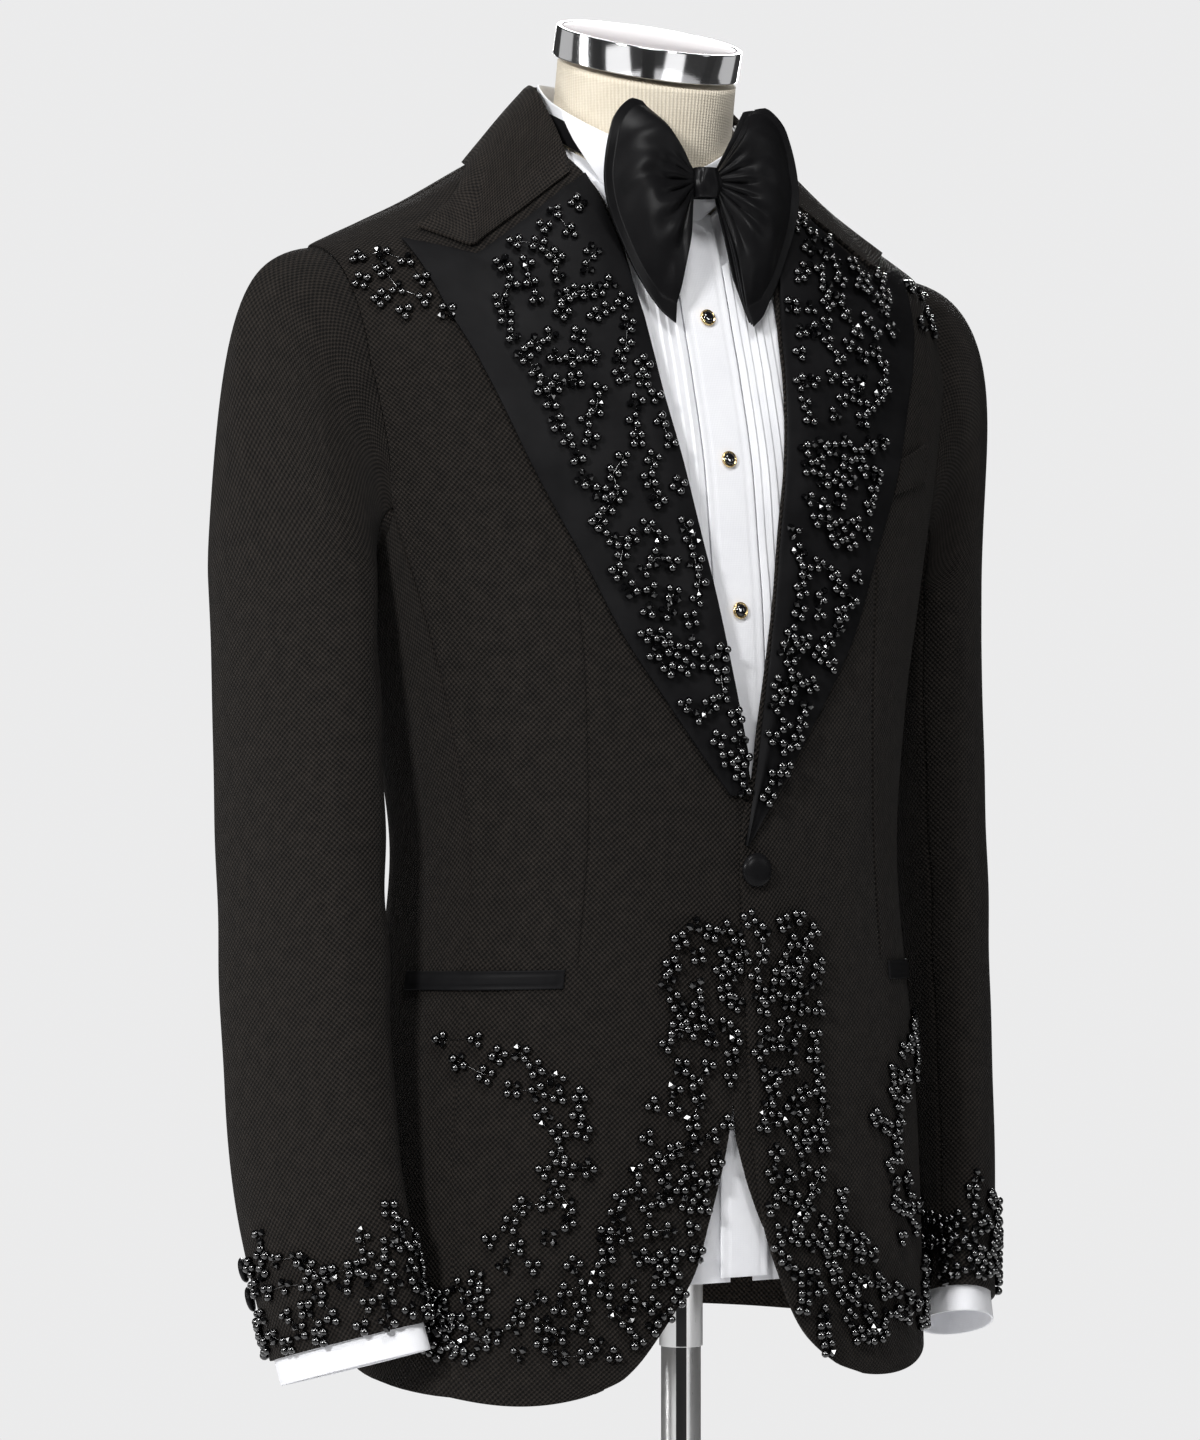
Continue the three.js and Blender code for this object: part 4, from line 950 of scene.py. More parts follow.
# Shirt
shirtCut = {
    "inset": 8,
    "cloth": 1.2,
    "trim": 1.0,
    "margin": 4.5,
    "pleats": 11,
    "foldIn": 0.82,
    "pleatHigh": 0.85,
    "bib": (17, 78),
    "neckY": 50,
    "band": 60,
}
bandRows = table(
    "turn low high",
    (0, 1489, 1521),
    (46, 1522, 1543),
    (73, 1541, 1557),
    (90, 1546, 1566),
    (120, 1550, 1580),
    (180, 1552, 1584),
)
shirtNeck = table("x level", (0, 1440), (78, 1446), (130, 1500), (230, 1500))


def shirtPoint(theta, level, lift=0.0):
    under = body(theta, level, shirtCut["inset"])
    return under + bodyNormal(theta, level) * np.asarray(lift, float)[..., None]


def shirtPlace(x, z):
    # as placeAt, on the shirt's own smaller body
    x, z = np.broadcast_arrays(np.asarray(x, float), np.asarray(z, float))
    inset = shirtCut["inset"]
    low = rowAt(bodySections, "z", np.minimum(z, shoulderZ))["halfWidth"]
    top = rowAt(ridgeSections, "x", np.abs(x))["z"]
    share = (top - shoulderZ) / (top - inset - shoulderZ)
    height = np.where(z <= shoulderZ, z, np.minimum(shoulderZ + (z - shoulderZ) * share, top - 0.01))
    return placeAt(x * low / (low - inset), height)


shirtStations = table(
    "step x z level theta",
    (0, 8, 873, 873, 90),
    (1, 8, 960, 960, 90),
    (2, 8, 1050, 1050, 90),
    (3, 8, 1140, 1140, 90),
    (4, 8, 1220, 1220, 90),
    (5, 8, 1280, 1304, 90),
    (6, 8, 1320, 1306, 80),
    (7, 8, 1355, 1324, 72),
    (8, 8, 1388, 1351, 69),
    (9, 8, 1418, 1378, 67.5),
    (10, 8, 1450, 1404, 67),
    (11, 9, 1488, 1440, 69),
    (12, 40, 1515, 1474, 73),
    (13, 64, 1543.9, 1503.4, 80.6),
)


def shirtFront(rows=90, columns=34):
    station = rowAt(shirtStations, "step", np.linspace(0, shirtStations[-1]["step"], rows))
    startTheta, startLevel = shirtPlace(station["x"], station["z"])
    share = np.linspace(0, 1, columns)[None, :]
    theta = mix(startTheta[:, None], station["theta"][:, None] - 0.1, share)
    level = mix(startLevel[:, None], station["level"][:, None], share)
    folds = np.sin(theta * 0.35 + level * 0.004) * 1.1 * (1 - smooth(level, 980, 1100))
    return shirtPoint(theta, level, folds)


def shirtBack(rows=80, columns=60):
    levels = np.linspace(shirtStations[0]["level"], shirtStations[-1]["level"], rows)
    arm = [row for row in armhole if row["turn"] <= 0][::-1]
    turn = np.interp(levels, [row["level"] for row in arm], [row["turn"] for row in arm])
    edge = np.where(levels >= arm[0]["level"], rowAt(armhole, "turn", turn)["theta"], 90)[:, None]
    theta = mix(edge, 360 - edge, np.linspace(0, 1, columns)[None, :])
    x = np.abs(body(theta, shoulderZ)[..., 0])
    cut = (rowAt(shirtNeck, "x", x)["level"] - shoulderZ) / shoulderRise
    above = np.maximum(levels - shoulderZ, 0)[:, None]
    return shirtPoint(theta, np.minimum(levels, shoulderZ)[:, None] + above * np.minimum(cut, 1))


def placketGrid(rows=110, columns=22, half=16):
    # a raised strip with a stitched margin on both sides
    u, v = np.meshgrid(np.linspace(0, 1, columns), np.linspace(0, 1, rows))
    edge = np.minimum(u, 1 - u) * 2 * half
    stitched = -jacketCut["stitch"] * bell(edge - shirtCut["margin"], 0.9)
    theta, level = shirtPlace(mix(-half, half, u), mix(876, 1497, v))
    return shirtPoint(theta, level, shirtCut["trim"] + shirtCut["cloth"] + stitched)


def bibGrid(rows=70):
    # narrow pleats pressed to one side: each rises from its own fold and lies over the next
    columns = shirtCut["pleats"] * 10 + 1
    u, v = np.meshgrid(np.linspace(0, 1, columns), np.linspace(0, 1, rows))
    theta, level = shirtPlace(mix(*shirtCut["bib"], u), mix(1150 + 60 * u**3, 1484 - 18 * (1 - u) ** 2, v))
    phase, foldIn = (u * shirtCut["pleats"]) % 1, shirtCut["foldIn"]
    pleat = np.where(phase < foldIn, 0.25 + phase / foldIn, 1.25 * (1 - (phase - foldIn) / (1 - foldIn)))
    wander = 1 + 0.25 * np.sin(v * 17 + u * 23)
    return shirtPoint(theta, level, shirtCut["trim"] + 0.6 + pleat * wander * shirtCut["pleatHigh"])


def neckPoint(turn, z, radius):
    angle = np.radians(turn)
    x, y = radius * np.sin(angle), shirtCut["neckY"] - radius * np.cos(angle)
    return np.stack([x, y, z + 0 * angle], axis=-1)


def neckStrip(radius, lowAt, highAt, reach, rows, columns=120, bulge=0.0):
    turn, v = np.meshgrid(np.linspace(-reach, reach, columns), np.linspace(0, 1, rows))
    z = mix(lowAt(np.abs(turn)), highAt(np.abs(turn)), v)
    return neckPoint(turn, z, radius + bulge * np.sin(np.pi * v))


def bandLow(turn):
    return rowAt(bandRows, "turn", turn)["low"]


def bandHigh(turn):
    return rowAt(bandRows, "turn", turn)["high"]


def wingGrid(rows=22, columns=34, longest=38):
    # the collar's turned-down point, in front only
    turn, v = np.meshgrid(np.linspace(24, 76, columns), np.linspace(0, 1, rows))
    drop = np.where(turn > 42, mix(longest, 2, np.clip((turn - 42) / 34, 0, 1)), longest)
    z = bandHigh(turn) - 0.2 - drop * (1 - v)
    lean = 3.0 * (1 - v) + 1.6 * np.sin(np.pi * (1 - v)) * (drop / longest)
    return neckPoint(turn, z, shirtCut["band"] + 2.6 + lean * np.clip(drop / 12, 0.2, 1))


def cuffGrid(rows=30, columns=72):
    # two layers of cuff: straight below the sleeve's hem and up inside it
    high = np.linspace(-15, 36, rows)[:, None]
    turn = np.linspace(0, 360, columns, endpoint=False)[None, :] + 0 * high
    down = np.array([0.11, 0.36, 0.96]) * np.minimum(high, 0)[..., None]
    return armRing(sleeveCut["hem"] + np.maximum(high, 0) + 0 * turn, wrapTurn(turn), -2.8) + down


def innerSleeve(rows=40, columns=48):
    turn, down = np.meshgrid(np.linspace(-180, 180, columns, endpoint=False), np.linspace(0.985, 0.07, rows))
    return sleevePoint(turn, down) - sleeveNormal(turn, down) * 5.2


def shirtPiece(name, grid, thickness, held, replaced, closed=False, rim=0.3):
    sewnPiece(name, grid, thickness, "shirt", replaced, closed, rim)


shirtPiece("shirtBack", shirtBack(), shirtCut["cloth"], "hung", "shirt_back")
shirtPiece("placket", placketGrid(), shirtCut["cloth"], "laid", "shirt_placket", rim=0.4)
bandGrid = neckStrip(shirtCut["band"], bandLow, bandHigh, 178, 14)
shirtPiece("collarBand", bandGrid, shirtCut["cloth"], "hung", "shirt_collar_band")
shirtParts = {
    "front": (shirtFront(), shirtCut["cloth"], "hung"),
    "bib": (bibGrid(), 0.8, "laid"),
    "wing": (wingGrid(), 1.4, "folded"),
    "cuff": (cuffGrid(), 1.5, "hung", True, 0.5),
    "sleeve": (innerSleeve(), 1.2, "hung", True, 0.5),
}
for part, (grid, thickness, held, *ends) in shirtParts.items():
    for side in sides:
        replaced = f"shirt_{part}_{side}"
        shirtPiece(f"{part}Shirt_{side}", sided(side, grid), thickness, held, replaced, *ends)
print("shirt done")


# Bow tie: on each side a puffed front wing, plies under it, and a flatter wing behind
bowTie = {
    "knotY": -24,
    "knotZ": 1514,
    "knotWide": 8.4,
    "knotDeep": 7.7,
    "knotHalf": 8.8,
    "ply": 1.3,
    "plies": 2,
    "plyStep": 1.9,
    "plyShrink": 0.014,
    "puff": 9,
    "lobe": 1.68,
    "bandRadius": 62.2,
    "bandHigh": 14,
}
# the wing behind: its size, how far back and up it goes, and how much it is shaped
backWing = {"scale": 0.93, "back": 5.2, "up": 2.5, "strength": 0.12}
wingEdge = table(
    "share x y z",
    (0, 27, -6, -84),
    (0.08, 36, -5, -76),
    (0.3, 53, 0, -47),
    (0.6, 67, 4, -6),
    (0.85, 60, 7, 34),
    (0.95, 48, 8.5, 47),
    (1, 39, 9, 46),
)
bowCreases = table(
    "at depth width reach lean",
    (0.14, 2.2, 0.05, 0.8, -0.03),
    (0.31, 3.4, 0.05, 0.62, 0.02),
    (0.47, 4.2, 0.04, 0.42, 0.05),
    (0.6, 3.6, 0.045, 0.5, 0.09),
    (0.78, 2.6, 0.05, 0.62, 0.05),
    (0.92, 1.6, 0.05, 0.5, -0.02),
)


def wingPly(layer, rows=60, columns=54):
    # layer 0 is the puffed front, then its under plies, then the wing behind
    v, u = np.meshgrid(np.linspace(0, 1, columns), np.linspace(0, 1, rows))
    row = rowAt(wingEdge, "share", v)
    behind = layer > bowTie["plies"]
    scale = backWing["scale"] if behind else 1 - bowTie["plyShrink"] * layer
    push, up = (backWing["back"], backWing["up"]) if behind else (bowTie["plyStep"] * layer, 0)
    start = np.stack([9.0 + 0 * v, 1 + 0.3 * push + 0 * v, mix(-7.5, 7.5, v)], axis=-1)
    end = np.stack([row["x"] * scale, row["y"] + push, row["z"] * scale + up], axis=-1)
    grid = mix(start, end, (u**0.9)[..., None])
    strength = backWing["strength"] if behind else 1 / (1 + layer)
    puff = bowTie["puff"] * (0.75 + 0.35 * np.sin(np.pi * v * 1.1))
    swell = np.sin(np.pi * np.minimum(u * 1.12, 1)) * puff * strength
    folds = np.zeros_like(u)
    for crease in bowCreases:
        width = crease["width"] * (0.7 + 1.5 * u)
        along = bell(v - crease["at"] - crease["lean"] * u, width)
        fade = smooth(u, 0.0, 0.08) * (1 - smooth(u, crease["reach"] * 0.45, crease["reach"] * 1.3))
        folds += crease["depth"] * along * fade
    lobe = bowTie["lobe"] * np.sin(np.pi * u) * np.sin(2 * np.pi * (v + 0.12 * u) * 1.6 + 0.8)
    ripple = 0.5 * np.sin(u * 13 + v * 21 + 2 * np.sin(v * 9)) * u * (1 - u) * 3
    grid[..., 1] += (folds + lobe + ripple) * strength - swell
    grid += np.array([0, bowTie["knotY"] - (1 if behind else 4), bowTie["knotZ"]])
    theta, level = shirtPlace(grid[..., 0], np.minimum(grid[..., 2], 1520))
    clear = shirtPoint(theta, level, 6.5 if behind else 10 - 1.4 * layer)[..., 1]
    grid[..., 1] = np.minimum(grid[..., 1], clear)
    return grid


def knotGrid(rows=34, columns=72):
    turn, v = np.meshgrid(np.linspace(0, 2 * np.pi, columns, endpoint=False), np.linspace(0, 1, rows))
    waist = 1 - 0.13 * np.cos(v * 2 * np.pi)
    folds = 1 + 0.04 * np.sin(turn * 9 + v * 2.2) * np.sin(np.pi * v) + 0.03 * np.sin(turn * 4 - v * 5)
    x = bowTie["knotWide"] * waist * folds * np.sign(np.cos(turn)) * np.abs(np.cos(turn)) ** 0.7
    y = bowTie["knotDeep"] * folds * np.sign(np.sin(turn)) * np.abs(np.sin(turn)) ** 0.8
    x, y = x + 0.6 * np.sin(v * 3.1), y + bowTie["knotY"] - 2
    return np.stack([x, y, bowTie["knotZ"] + mix(-1, 1, v) * bowTie["knotHalf"]], axis=-1)


def tieLow(turn):
    return mix(bowTie["knotZ"], 1556, smooth(turn, 0, 110)) - 7


def tieHigh(turn):
    return tieLow(turn) + bowTie["bandHigh"]


def bowPiece(name, grid, thickness, replaced=None, closed=False):
    sewnPiece(name, grid, thickness, "bowSatin", replaced, closed, 0.35)


for layer in range(bowTie["plies"] + 2):
    grid = wingPly(layer)
    replaced = {0: "bow_wing", bowTie["plies"] + 1: "bow_back_wing"}.get(layer)
    for side in sides:
        name = f"bowPly{layer}_{side}"
        bowPiece(name, sided(side, grid), bowTie["ply"], replaced and f"{replaced}_{side}")
bowPiece("bowKnot", knotGrid(), 1.2, "bow_knot", closed=True)
tieBand = neckStrip(bowTie["bandRadius"], tieLow, tieHigh, 172, 8, bulge=0.5)
bowPiece("bowBand", tieBand, 1.2, "bow_band")
print("bow tie done")


# Pocket welts, laid on the fronts
welt = {"hipX": 112, "hipZ": 1045, "hipTurn": 48, "hipHigh": 11, "chestHigh": 22, "lift": 0.5, "thick": 1.5}


def stripGrid(placeOf, rows, columns, lift):
    u, v = np.meshgrid(np.linspace(0, 1, columns), np.linspace(0, 1, rows))
    edge = np.minimum(np.minimum(u * columns, (1 - u) * columns), np.minimum(v * rows, (1 - v) * rows))
    stitched = -jacketCut["stitch"] * bell(edge - 2.2, 0.8)
    return onBody(*placeOf(u, v), lift + stitched + drape(u * 60, v * 40) * 0.1)


def hipPlace(u, v):
    start, level = placeAt(welt["hipX"], welt["hipZ"])
    return start + welt["hipTurn"] * u, level + welt["hipHigh"] * v - 3 * u


def chestPlace(u, v):
    z = mix(1333, 1344, u) + welt["chestHigh"] * v
    return placeAt(mix(rowAt(lapelRows, "z", z)["edge"] + 2, 160, u), z)


weltLift = welt["lift"] + welt["thick"]
hipGrid, chestGrid = stripGrid(hipPlace, 12, 90, weltLift), stripGrid(chestPlace, 16, 40, weltLift)
welts = [(f"hipWelt_{side}", sided(side, hipGrid), "satin", side, f"hip_welt_{side}") for side in sides]
welts.append(("breastWelt", chestGrid, "jacket", "left", "breast_welt"))
for name, grid, look, side, replaced in welts:
    sewnPiece(name, grid, welt["thick"], look, replaced, rim=0.4)
print("welts done")


# Buttons and studs, and the turned shape that the form's neck and the stand share
def turnedPiece(name, profile, turns, place, direction, look, replaced, wobble=0.0, riding="form"):
    # a closed piece from its profile of radius and height, bottom to top
    up = unit(np.asarray(direction, float))
    across = unit(np.cross(up, [0.02, 1, 0.01]))
    turn = np.linspace(0, 2 * np.pi, turns, endpoint=False)
    ring = np.cos(turn)[:, None] * across + np.sin(turn)[:, None] * np.cross(up, across)
    points = []
    for radius, height in profile:
        reach = radius * (1 + wobble * np.sin(turn * 7 + height))
        points.extend(place + ring * reach[:, None] + up * height)
    faces = gridFaces(len(profile), turns, True)
    faces.append(tuple(range(turns))[::-1])
    faces.append(tuple(range((len(profile) - 1) * turns, len(profile) * turns)))
    settle(meshOf(name, points, faces, look), riding, replaced)


def rounded(profile, radius, steps):
    # a profile with each of its inner corners eased by a small curve
    out = [np.array(profile[0], float)]
    for before, corner, after in zip(profile, profile[1:], profile[2:]):
        corner = np.array(corner, float)
        a, b = np.array(before) - corner, np.array(after) - corner
        reach = min(radius, 0.45 * np.linalg.norm(a), 0.45 * np.linalg.norm(b))
        first, second = corner + a / np.linalg.norm(a) * reach, corner + b / np.linalg.norm(b) * reach
        for t in np.linspace(0, 1, steps):
            out.append((1 - t) ** 2 * first + 2 * t * (1 - t) * corner + t**2 * second)
    out.append(np.array(profile[-1], float))
    return out


button = {
    "front": 10,
    "frontZ": 1112,
    "cuff": 7.5,
    "cuffZ": {"upper": 893, "lower": 877},
    "cuffTurn": -104,
    "wobble": 0.006,
    "stud": 5,
    "studZ": {"top": 1434, "middle": 1350, "bottom": 1262},
}


def buttonProfile(radius, height):
    turn = np.linspace(0, np.pi / 2, 9)
    dome = [(radius * np.cos(a) ** 0.6, height * (0.3 + 0.7 * np.sin(a))) for a in turn[:-1]]
    return [(radius * 0.7, 0), (radius * 0.9, height * 0.08), *dome, (radius * 0.12, height)]


def buttonPiece(name, radius, high, place, out, replaced, turns=40):
    turnedPiece(name, buttonProfile(radius, high), turns, place, out, "bowSatin", replaced, button["wobble"])


theta, level = placeAt(0.1, button["frontZ"])
frontButtonAt = onBody(theta, level, jacketCut["lap"] + 0.4)
buttonPiece("frontButton", button["front"], 5, frontButtonAt, bodyNormal(theta, level), "front_button", 48)
for step, z in button["cuffZ"].items():
    place = (np.array(float(button["cuffTurn"])), np.array(downAt(z)))
    here, out = sleevePoint(*place), sleeveNormal(*place)
    for side in sides:
        mirror, replaced = [1 if side == "left" else -1, 1, 1], f"cuff_button_{step}_{side}"
        name = f"cuffButton{step.title()}_{side}"
        buttonPiece(name, button["cuff"], 4, (here + out * 0.9) * mirror, out * mirror, replaced)
r = button["stud"]
ring = [(r - 1.2, 0), (r - 0.1, 0), (r, 0.5), (r - 0.1, 1.1), (r - 0.5, 1.4), (r - 0.9, 1.4), (r - 1.2, 1.0)]
gem = [(r - 1.6, 0.2), (r - 1.3, 0.9), (r - 1.5, 1.5), (r - 2.1, 2.1), (r - 3.2, 2.5), (0.4, 2.6)]
for name, z in button["studZ"].items():
    theta, level = shirtPlace(0.1, z)
    base = shirtPoint(theta, level, shirtCut["trim"] + shirtCut["cloth"] + 0.5)
    out = bodyNormal(theta, level)
    turnedPiece(f"studRim_{name}", ring, 40, base, out, "gold", f"stud_rim_{name}")
    turnedPiece(f"studStone_{name}", gem, 32, base, out, "onyx", f"stud_stone_{name}")
print("buttons and studs done")


# The form and its stand
formCut = {
    "inset": 13,
    "neckRadius": 54,
    "neckTop": 1586,
    "tilt": 17,
    "capRadius": 56,
    "capHigh": 18,
    "bottom": 903,
}
poleCut = {"upper": 12.9, "upperLow": 829, "upperHigh": 1215, "post": 11.8, "postHigh": 1090, "base": 180}


def formGrid(rows=70, around=96):
    levels = np.concatenate([[formCut["bottom"]], np.linspace(905, 1503, rows - 1)])
    turn = np.linspace(0, 360, around, endpoint=False)[None, :]
    inset = formCut["inset"] + np.where(levels < 904, 6, 0) + 16 * smooth(levels, 1400, 1475)
    return np.array([body(turn[0], np.full(around, at), gap) for at, gap in zip(levels, inset)])


def neckGrid(rows=24, around=96):
    steps = np.linspace(0, 3, rows)
    z = np.interp(steps, [0, 1, 2, 3], [1470, 1520, 1560, formCut["neckTop"]])
    turn = np.linspace(0, 2 * np.pi, around, endpoint=False)
    tilt = np.radians(formCut["tilt"] * steps / 3)[:, None]
    x = formCut["neckRadius"] * np.cos(turn)[None, :] + 0 * tilt
    y = formCut["neckRadius"] * np.sin(turn)[None, :]
    return np.stack([x, 52 - 4.4 * steps[:, None] + y * np.cos(tilt), z[:, None] + y * np.sin(tilt)], axis=-1)


def formPiece():
    # the body and the neck in one mesh, closed at the bottom and the top
    points, faces = [], []
    for grid in (formGrid(), neckGrid()):
        rows, columns = grid.shape[:2]
        start = len(points)
        points.extend(grid.reshape(-1, 3))
        faces.extend(tuple(start + i for i in face) for face in gridFaces(rows, columns, True))
    faces.append(tuple(range(len(points) - columns, len(points))))
    faces.append(tuple(range(columns))[::-1])
    settle(meshOf("formTorso", points, faces, "jersey"), "form", "form_torso")


formPiece()
tilt, half, r = np.radians(formCut["tilt"]), formCut["capHigh"] / 2, formCut["capRadius"]
neckUp, neckAt = np.array([0, -np.sin(tilt), np.cos(tilt)]), np.array([0, 38, 1598.5])
rimProfile = rounded([(r - 2.5, -half), (r, -half), (r, half), (r - 2.5, half), (r - 2.5, half - 3)], 0.8, 4)
turnedPiece("neckRim", rimProfile, 120, neckAt, neckUp, "chrome", "form_neck_band")
dome = [((r - 2.9) * np.cos(a), half - 1 + 4.5 * np.sin(a)) for a in np.linspace(0, np.pi / 2 - 0.02, 16)]
capProfile = [(r - 4, -half), (r - 2.9, -half + 1), *dome]
turnedPiece("neckCap", capProfile, 120, neckAt, neckUp, "capTop", "form_neck_cap")


def standPiece(name, corners, radius, steps, turns, look, replaced, riding="stand"):
    profile = rounded(corners, radius, steps)
    turnedPiece(name, profile, turns, np.zeros(3), (0, 0, 1), look, replaced, riding=riding)


def poleCorners(radius, wall, low, high):
    return [(radius - wall, low), (radius, low), (radius, high), (radius - wall, high)]


upperCorners = poleCorners(poleCut["upper"], 0.75, poleCut["upperLow"], poleCut["upperHigh"])
postCorners = poleCorners(poleCut["post"], 1.2, 3.4, poleCut["postHigh"])
wide = poleCut["base"]
baseCorners = [(20, 0.2), (wide - 2, 0.2), (wide, 2), (wide, 5.5), (wide - 3, 8), (60, 9), (26, 10), (23, 16)]
baseCorners += [(22, 30), (12.2, 30)]
standPiece("poleUpper", upperCorners, 0.3, 3, 64, "pole", "form_pole_upper", "form")
standPiece("polePost", postCorners, 0.5, 3, 64, "pole", "form_post")
standPiece("standBase", baseCorners, 3, 5, 144, "steel", "form_base")
# the painted shadow strip down the pole: its width, the way it faces (towards the camera), how proud it
# stands and its depth
poleShadowCut = {"width": 6.3, "faces": -31, "proud": 0.12, "depth": 0.5}


def poleShadowStrip(name, radius, low, high, riding):
    # the black strip down the pole, a shallow curved bar: a painted shadow on the chrome, facing the camera
    half = np.degrees(poleShadowCut["width"] / 2 / radius)
    turn = np.radians(np.linspace(-half, half, 9) + poleShadowCut["faces"] - 90)[None, :]
    reach, heights = radius + poleShadowCut["proud"], np.linspace(low, high, 24)[:, None]
    grid = np.stack(np.broadcast_arrays(reach * np.cos(turn), reach * np.sin(turn), heights), axis=-1)
    settle(clothPiece(name, grid, poleShadowCut["depth"], "poleShadow", rim=0.1), riding)


# painted shadow strips down the upper pole and the post
poleShadowStrip("upperSlot", poleCut["upper"], poleCut["upperLow"] + 0.5, 902, "form")
poleShadowStrip("postSlot", poleCut["post"], 31, poleCut["postHigh"] - 2, "stand")
print("form and stand done")


# Beading: a seeded scatter of small sprays, each a few clusters of beads on a thread
beading = {
    "size": 5.5,
    "sunk": 0.42,
    "least": 3,
    "most": 4,
    "thread": 0.42,
    "step": 10.4,
    "gap": 9.2,
    "seed": 11,
    "faceted": 0.2,
    "hemRadius": 172,
    "cuffArc": 0.72,
    "sprayReach": 15,
}


beadInputs = {
    "Bead Size": "Float",
    "Beads Least": "Int",
    "Beads Most": "Int",
    "Thread Size": "Float",
    "Faceted Share": "Float",
    "Seed": "Int",
    "Bead Finish": "Material",
}


def beadTree():
    tree = bpy.data.node_groups.new("beadSprays", "GeometryNodeTree")

    def made(kind, values=None, out=0, **settings):
        return node(tree, kind, values, **settings).outputs[out]

    def attribute(name, kind):
        return made("GeometryNodeInputNamedAttribute", {"Name": name}, data_type=kind)

    def vectors(operation, values=None):
        return made("ShaderNodeVectorMath", values, operation=operation)

    for label, kind in {"Geometry": "Geometry", **beadInputs}.items():
        tree.interface.new_socket(label, in_out="INPUT", socket_type=f"NodeSocket{kind}")
    tree.interface.new_socket("Geometry", in_out="OUTPUT", socket_type="NodeSocketGeometry")
    given = node(tree, "NodeGroupInput").outputs
    size, seed = given["Bead Size"], given["Seed"]

    span = {4: given["Beads Least"], 5: given["Beads Most"], "Seed": seed}
    count = made("FunctionNodeRandomValue", span, 2, data_type="INT")
    kept = {"Geometry": given["Geometry"], "Name": "beads", "Value": count}
    kept = made("GeometryNodeStoreNamedAttribute", kept, data_type="INT")
    copies = {"Geometry": kept, "Amount": count}
    copies = node(tree, "GeometryNodeDuplicateElements", copies, domain="POINT").outputs

    # each cluster is a ring of beads that touch, lying on the cloth
    outwards = attribute("outwards", "FLOAT_VECTOR")
    share = math(tree, "DIVIDE", 2 * np.pi, attribute("beads", "INT"))
    angle = math(tree, "MULTIPLY_ADD", copies["Duplicate Index"], share, attribute("phase", "FLOAT"))
    half = math(tree, "SINE", math(tree, "MULTIPLY", share, 0.5))
    reach = math(tree, "DIVIDE", math(tree, "MULTIPLY", size, 0.51), half)
    level = vectors("CROSS_PRODUCT", {0: outwards, 1: (0.03, 0.05, 1.0)})
    sideways = vectors("NORMALIZE", {0: level})
    upwards = vectors("CROSS_PRODUCT", {0: outwards, 1: sideways})
    steps = []
    for axis, turned in ((sideways, "COSINE"), (upwards, "SINE")):
        length = math(tree, "MULTIPLY", math(tree, turned, angle), reach)
        steps.append(vectors("SCALE", {0: axis, "Scale": length}))
    offset = vectors("ADD", dict(enumerate(steps)))
    placed = made("GeometryNodeSetPosition", {"Geometry": copies["Geometry"], "Offset": offset})

    pick = made("FunctionNodeRandomValue", {"Seed": math(tree, "ADD", seed, 3)}, 1, data_type="FLOAT")
    cut = math(tree, "LESS_THAN", pick, given["Faceted Share"])
    sizes = {2: 0.84, 3: 1.06, "Seed": math(tree, "ADD", seed, 5)}
    vary = made("FunctionNodeRandomValue", sizes, 1, data_type="FLOAT")
    tumble = made("FunctionNodeRandomValue", {1: (6.2, 6.2, 6.2)}, data_type="FLOAT_VECTOR")
    joined = node(tree, "GeometryNodeJoinGeometry")
    for smoothed, radius in ((True, 0.5), (False, 0.47)):
        ball = {"Radius": math(tree, "MULTIPLY", size, radius), "Subdivisions": 2 if smoothed else 1}
        ball = made("GeometryNodeMeshIcoSphere", ball)
        strewn = {
            "Points": placed,
            "Instance": made("GeometryNodeSetShadeSmooth", {"Geometry": ball, "Shade Smooth": smoothed}),
            "Selection": math(tree, "SUBTRACT", 1.0, cut) if smoothed else cut,
            "Rotation": tumble,
            "Scale": vary,
        }
        feed(tree, joined, {0: made("GeometryNodeInstanceOnPoints", strewn)})

    line = made("GeometryNodeMeshToCurve", {"Mesh": given["Geometry"]})
    section = made("GeometryNodeCurvePrimitiveCircle", {"Resolution": 4, "Radius": given["Thread Size"]})
    feed(tree, joined, {0: made("GeometryNodeCurveToMesh", {"Curve": line, "Profile Curve": section})})
    real = made("GeometryNodeRealizeInstances", {0: joined.outputs[0]})
    finished = made("GeometryNodeSetMaterial", {"Geometry": real, "Material": given["Bead Finish"]})
    node(tree, "NodeGroupOutput", {0: finished})
    return tree


beadSprays = beadTree()


def bake(obj, name):
    # the modifier's result as a plain mesh in the object's place
    shaped = obj.evaluated_get(bpy.context.evaluated_depsgraph_get())
    mesh = bpy.data.meshes.new_from_object(shaped)
    for layer in [a.name for a in mesh.attributes if a.name in ("beads", "phase", "outwards")]:
        mesh.attributes.remove(mesh.attributes[layer])
    old = obj.data
    bpy.data.objects.remove(obj)
    bpy.data.meshes.remove(old)
    return newObject(name, mesh)


def sprayPlan(rng, inside, side, low, high, tries, longest=5):
    # cluster places in a flat plan, in mm, and which of them a thread joins
    places, threads = [], []
    step, gap = beading["step"], beading["gap"]

    def free(spot, near):
        return not places or np.hypot(*(np.array(places) - spot).T).min() > near

    for _ in range(tries):
        spot = rng.uniform(low, high)
        if not inside(side, *spot) or not free(spot, gap * 1.25):
            continue
        heading = rng.uniform(0, 2 * np.pi)
        before = None
        for _ in range(rng.integers(2, longest + 1)):
            places.append(spot)
            if before is not None:
                threads.append((before, len(places) - 1))
            before = len(places) - 1
            following = None
            for _ in range(8):
                turned = heading + rng.uniform(-1.1, 1.1)
                trial = spot + step * rng.uniform(0.92, 1.25) * np.array([np.cos(turned), np.sin(turned)])
                if inside(side, *trial) and free(trial, gap):
                    following, heading = trial, turned
                    break
            if following is None:
                break
            spot = following
    return np.array(places), threads


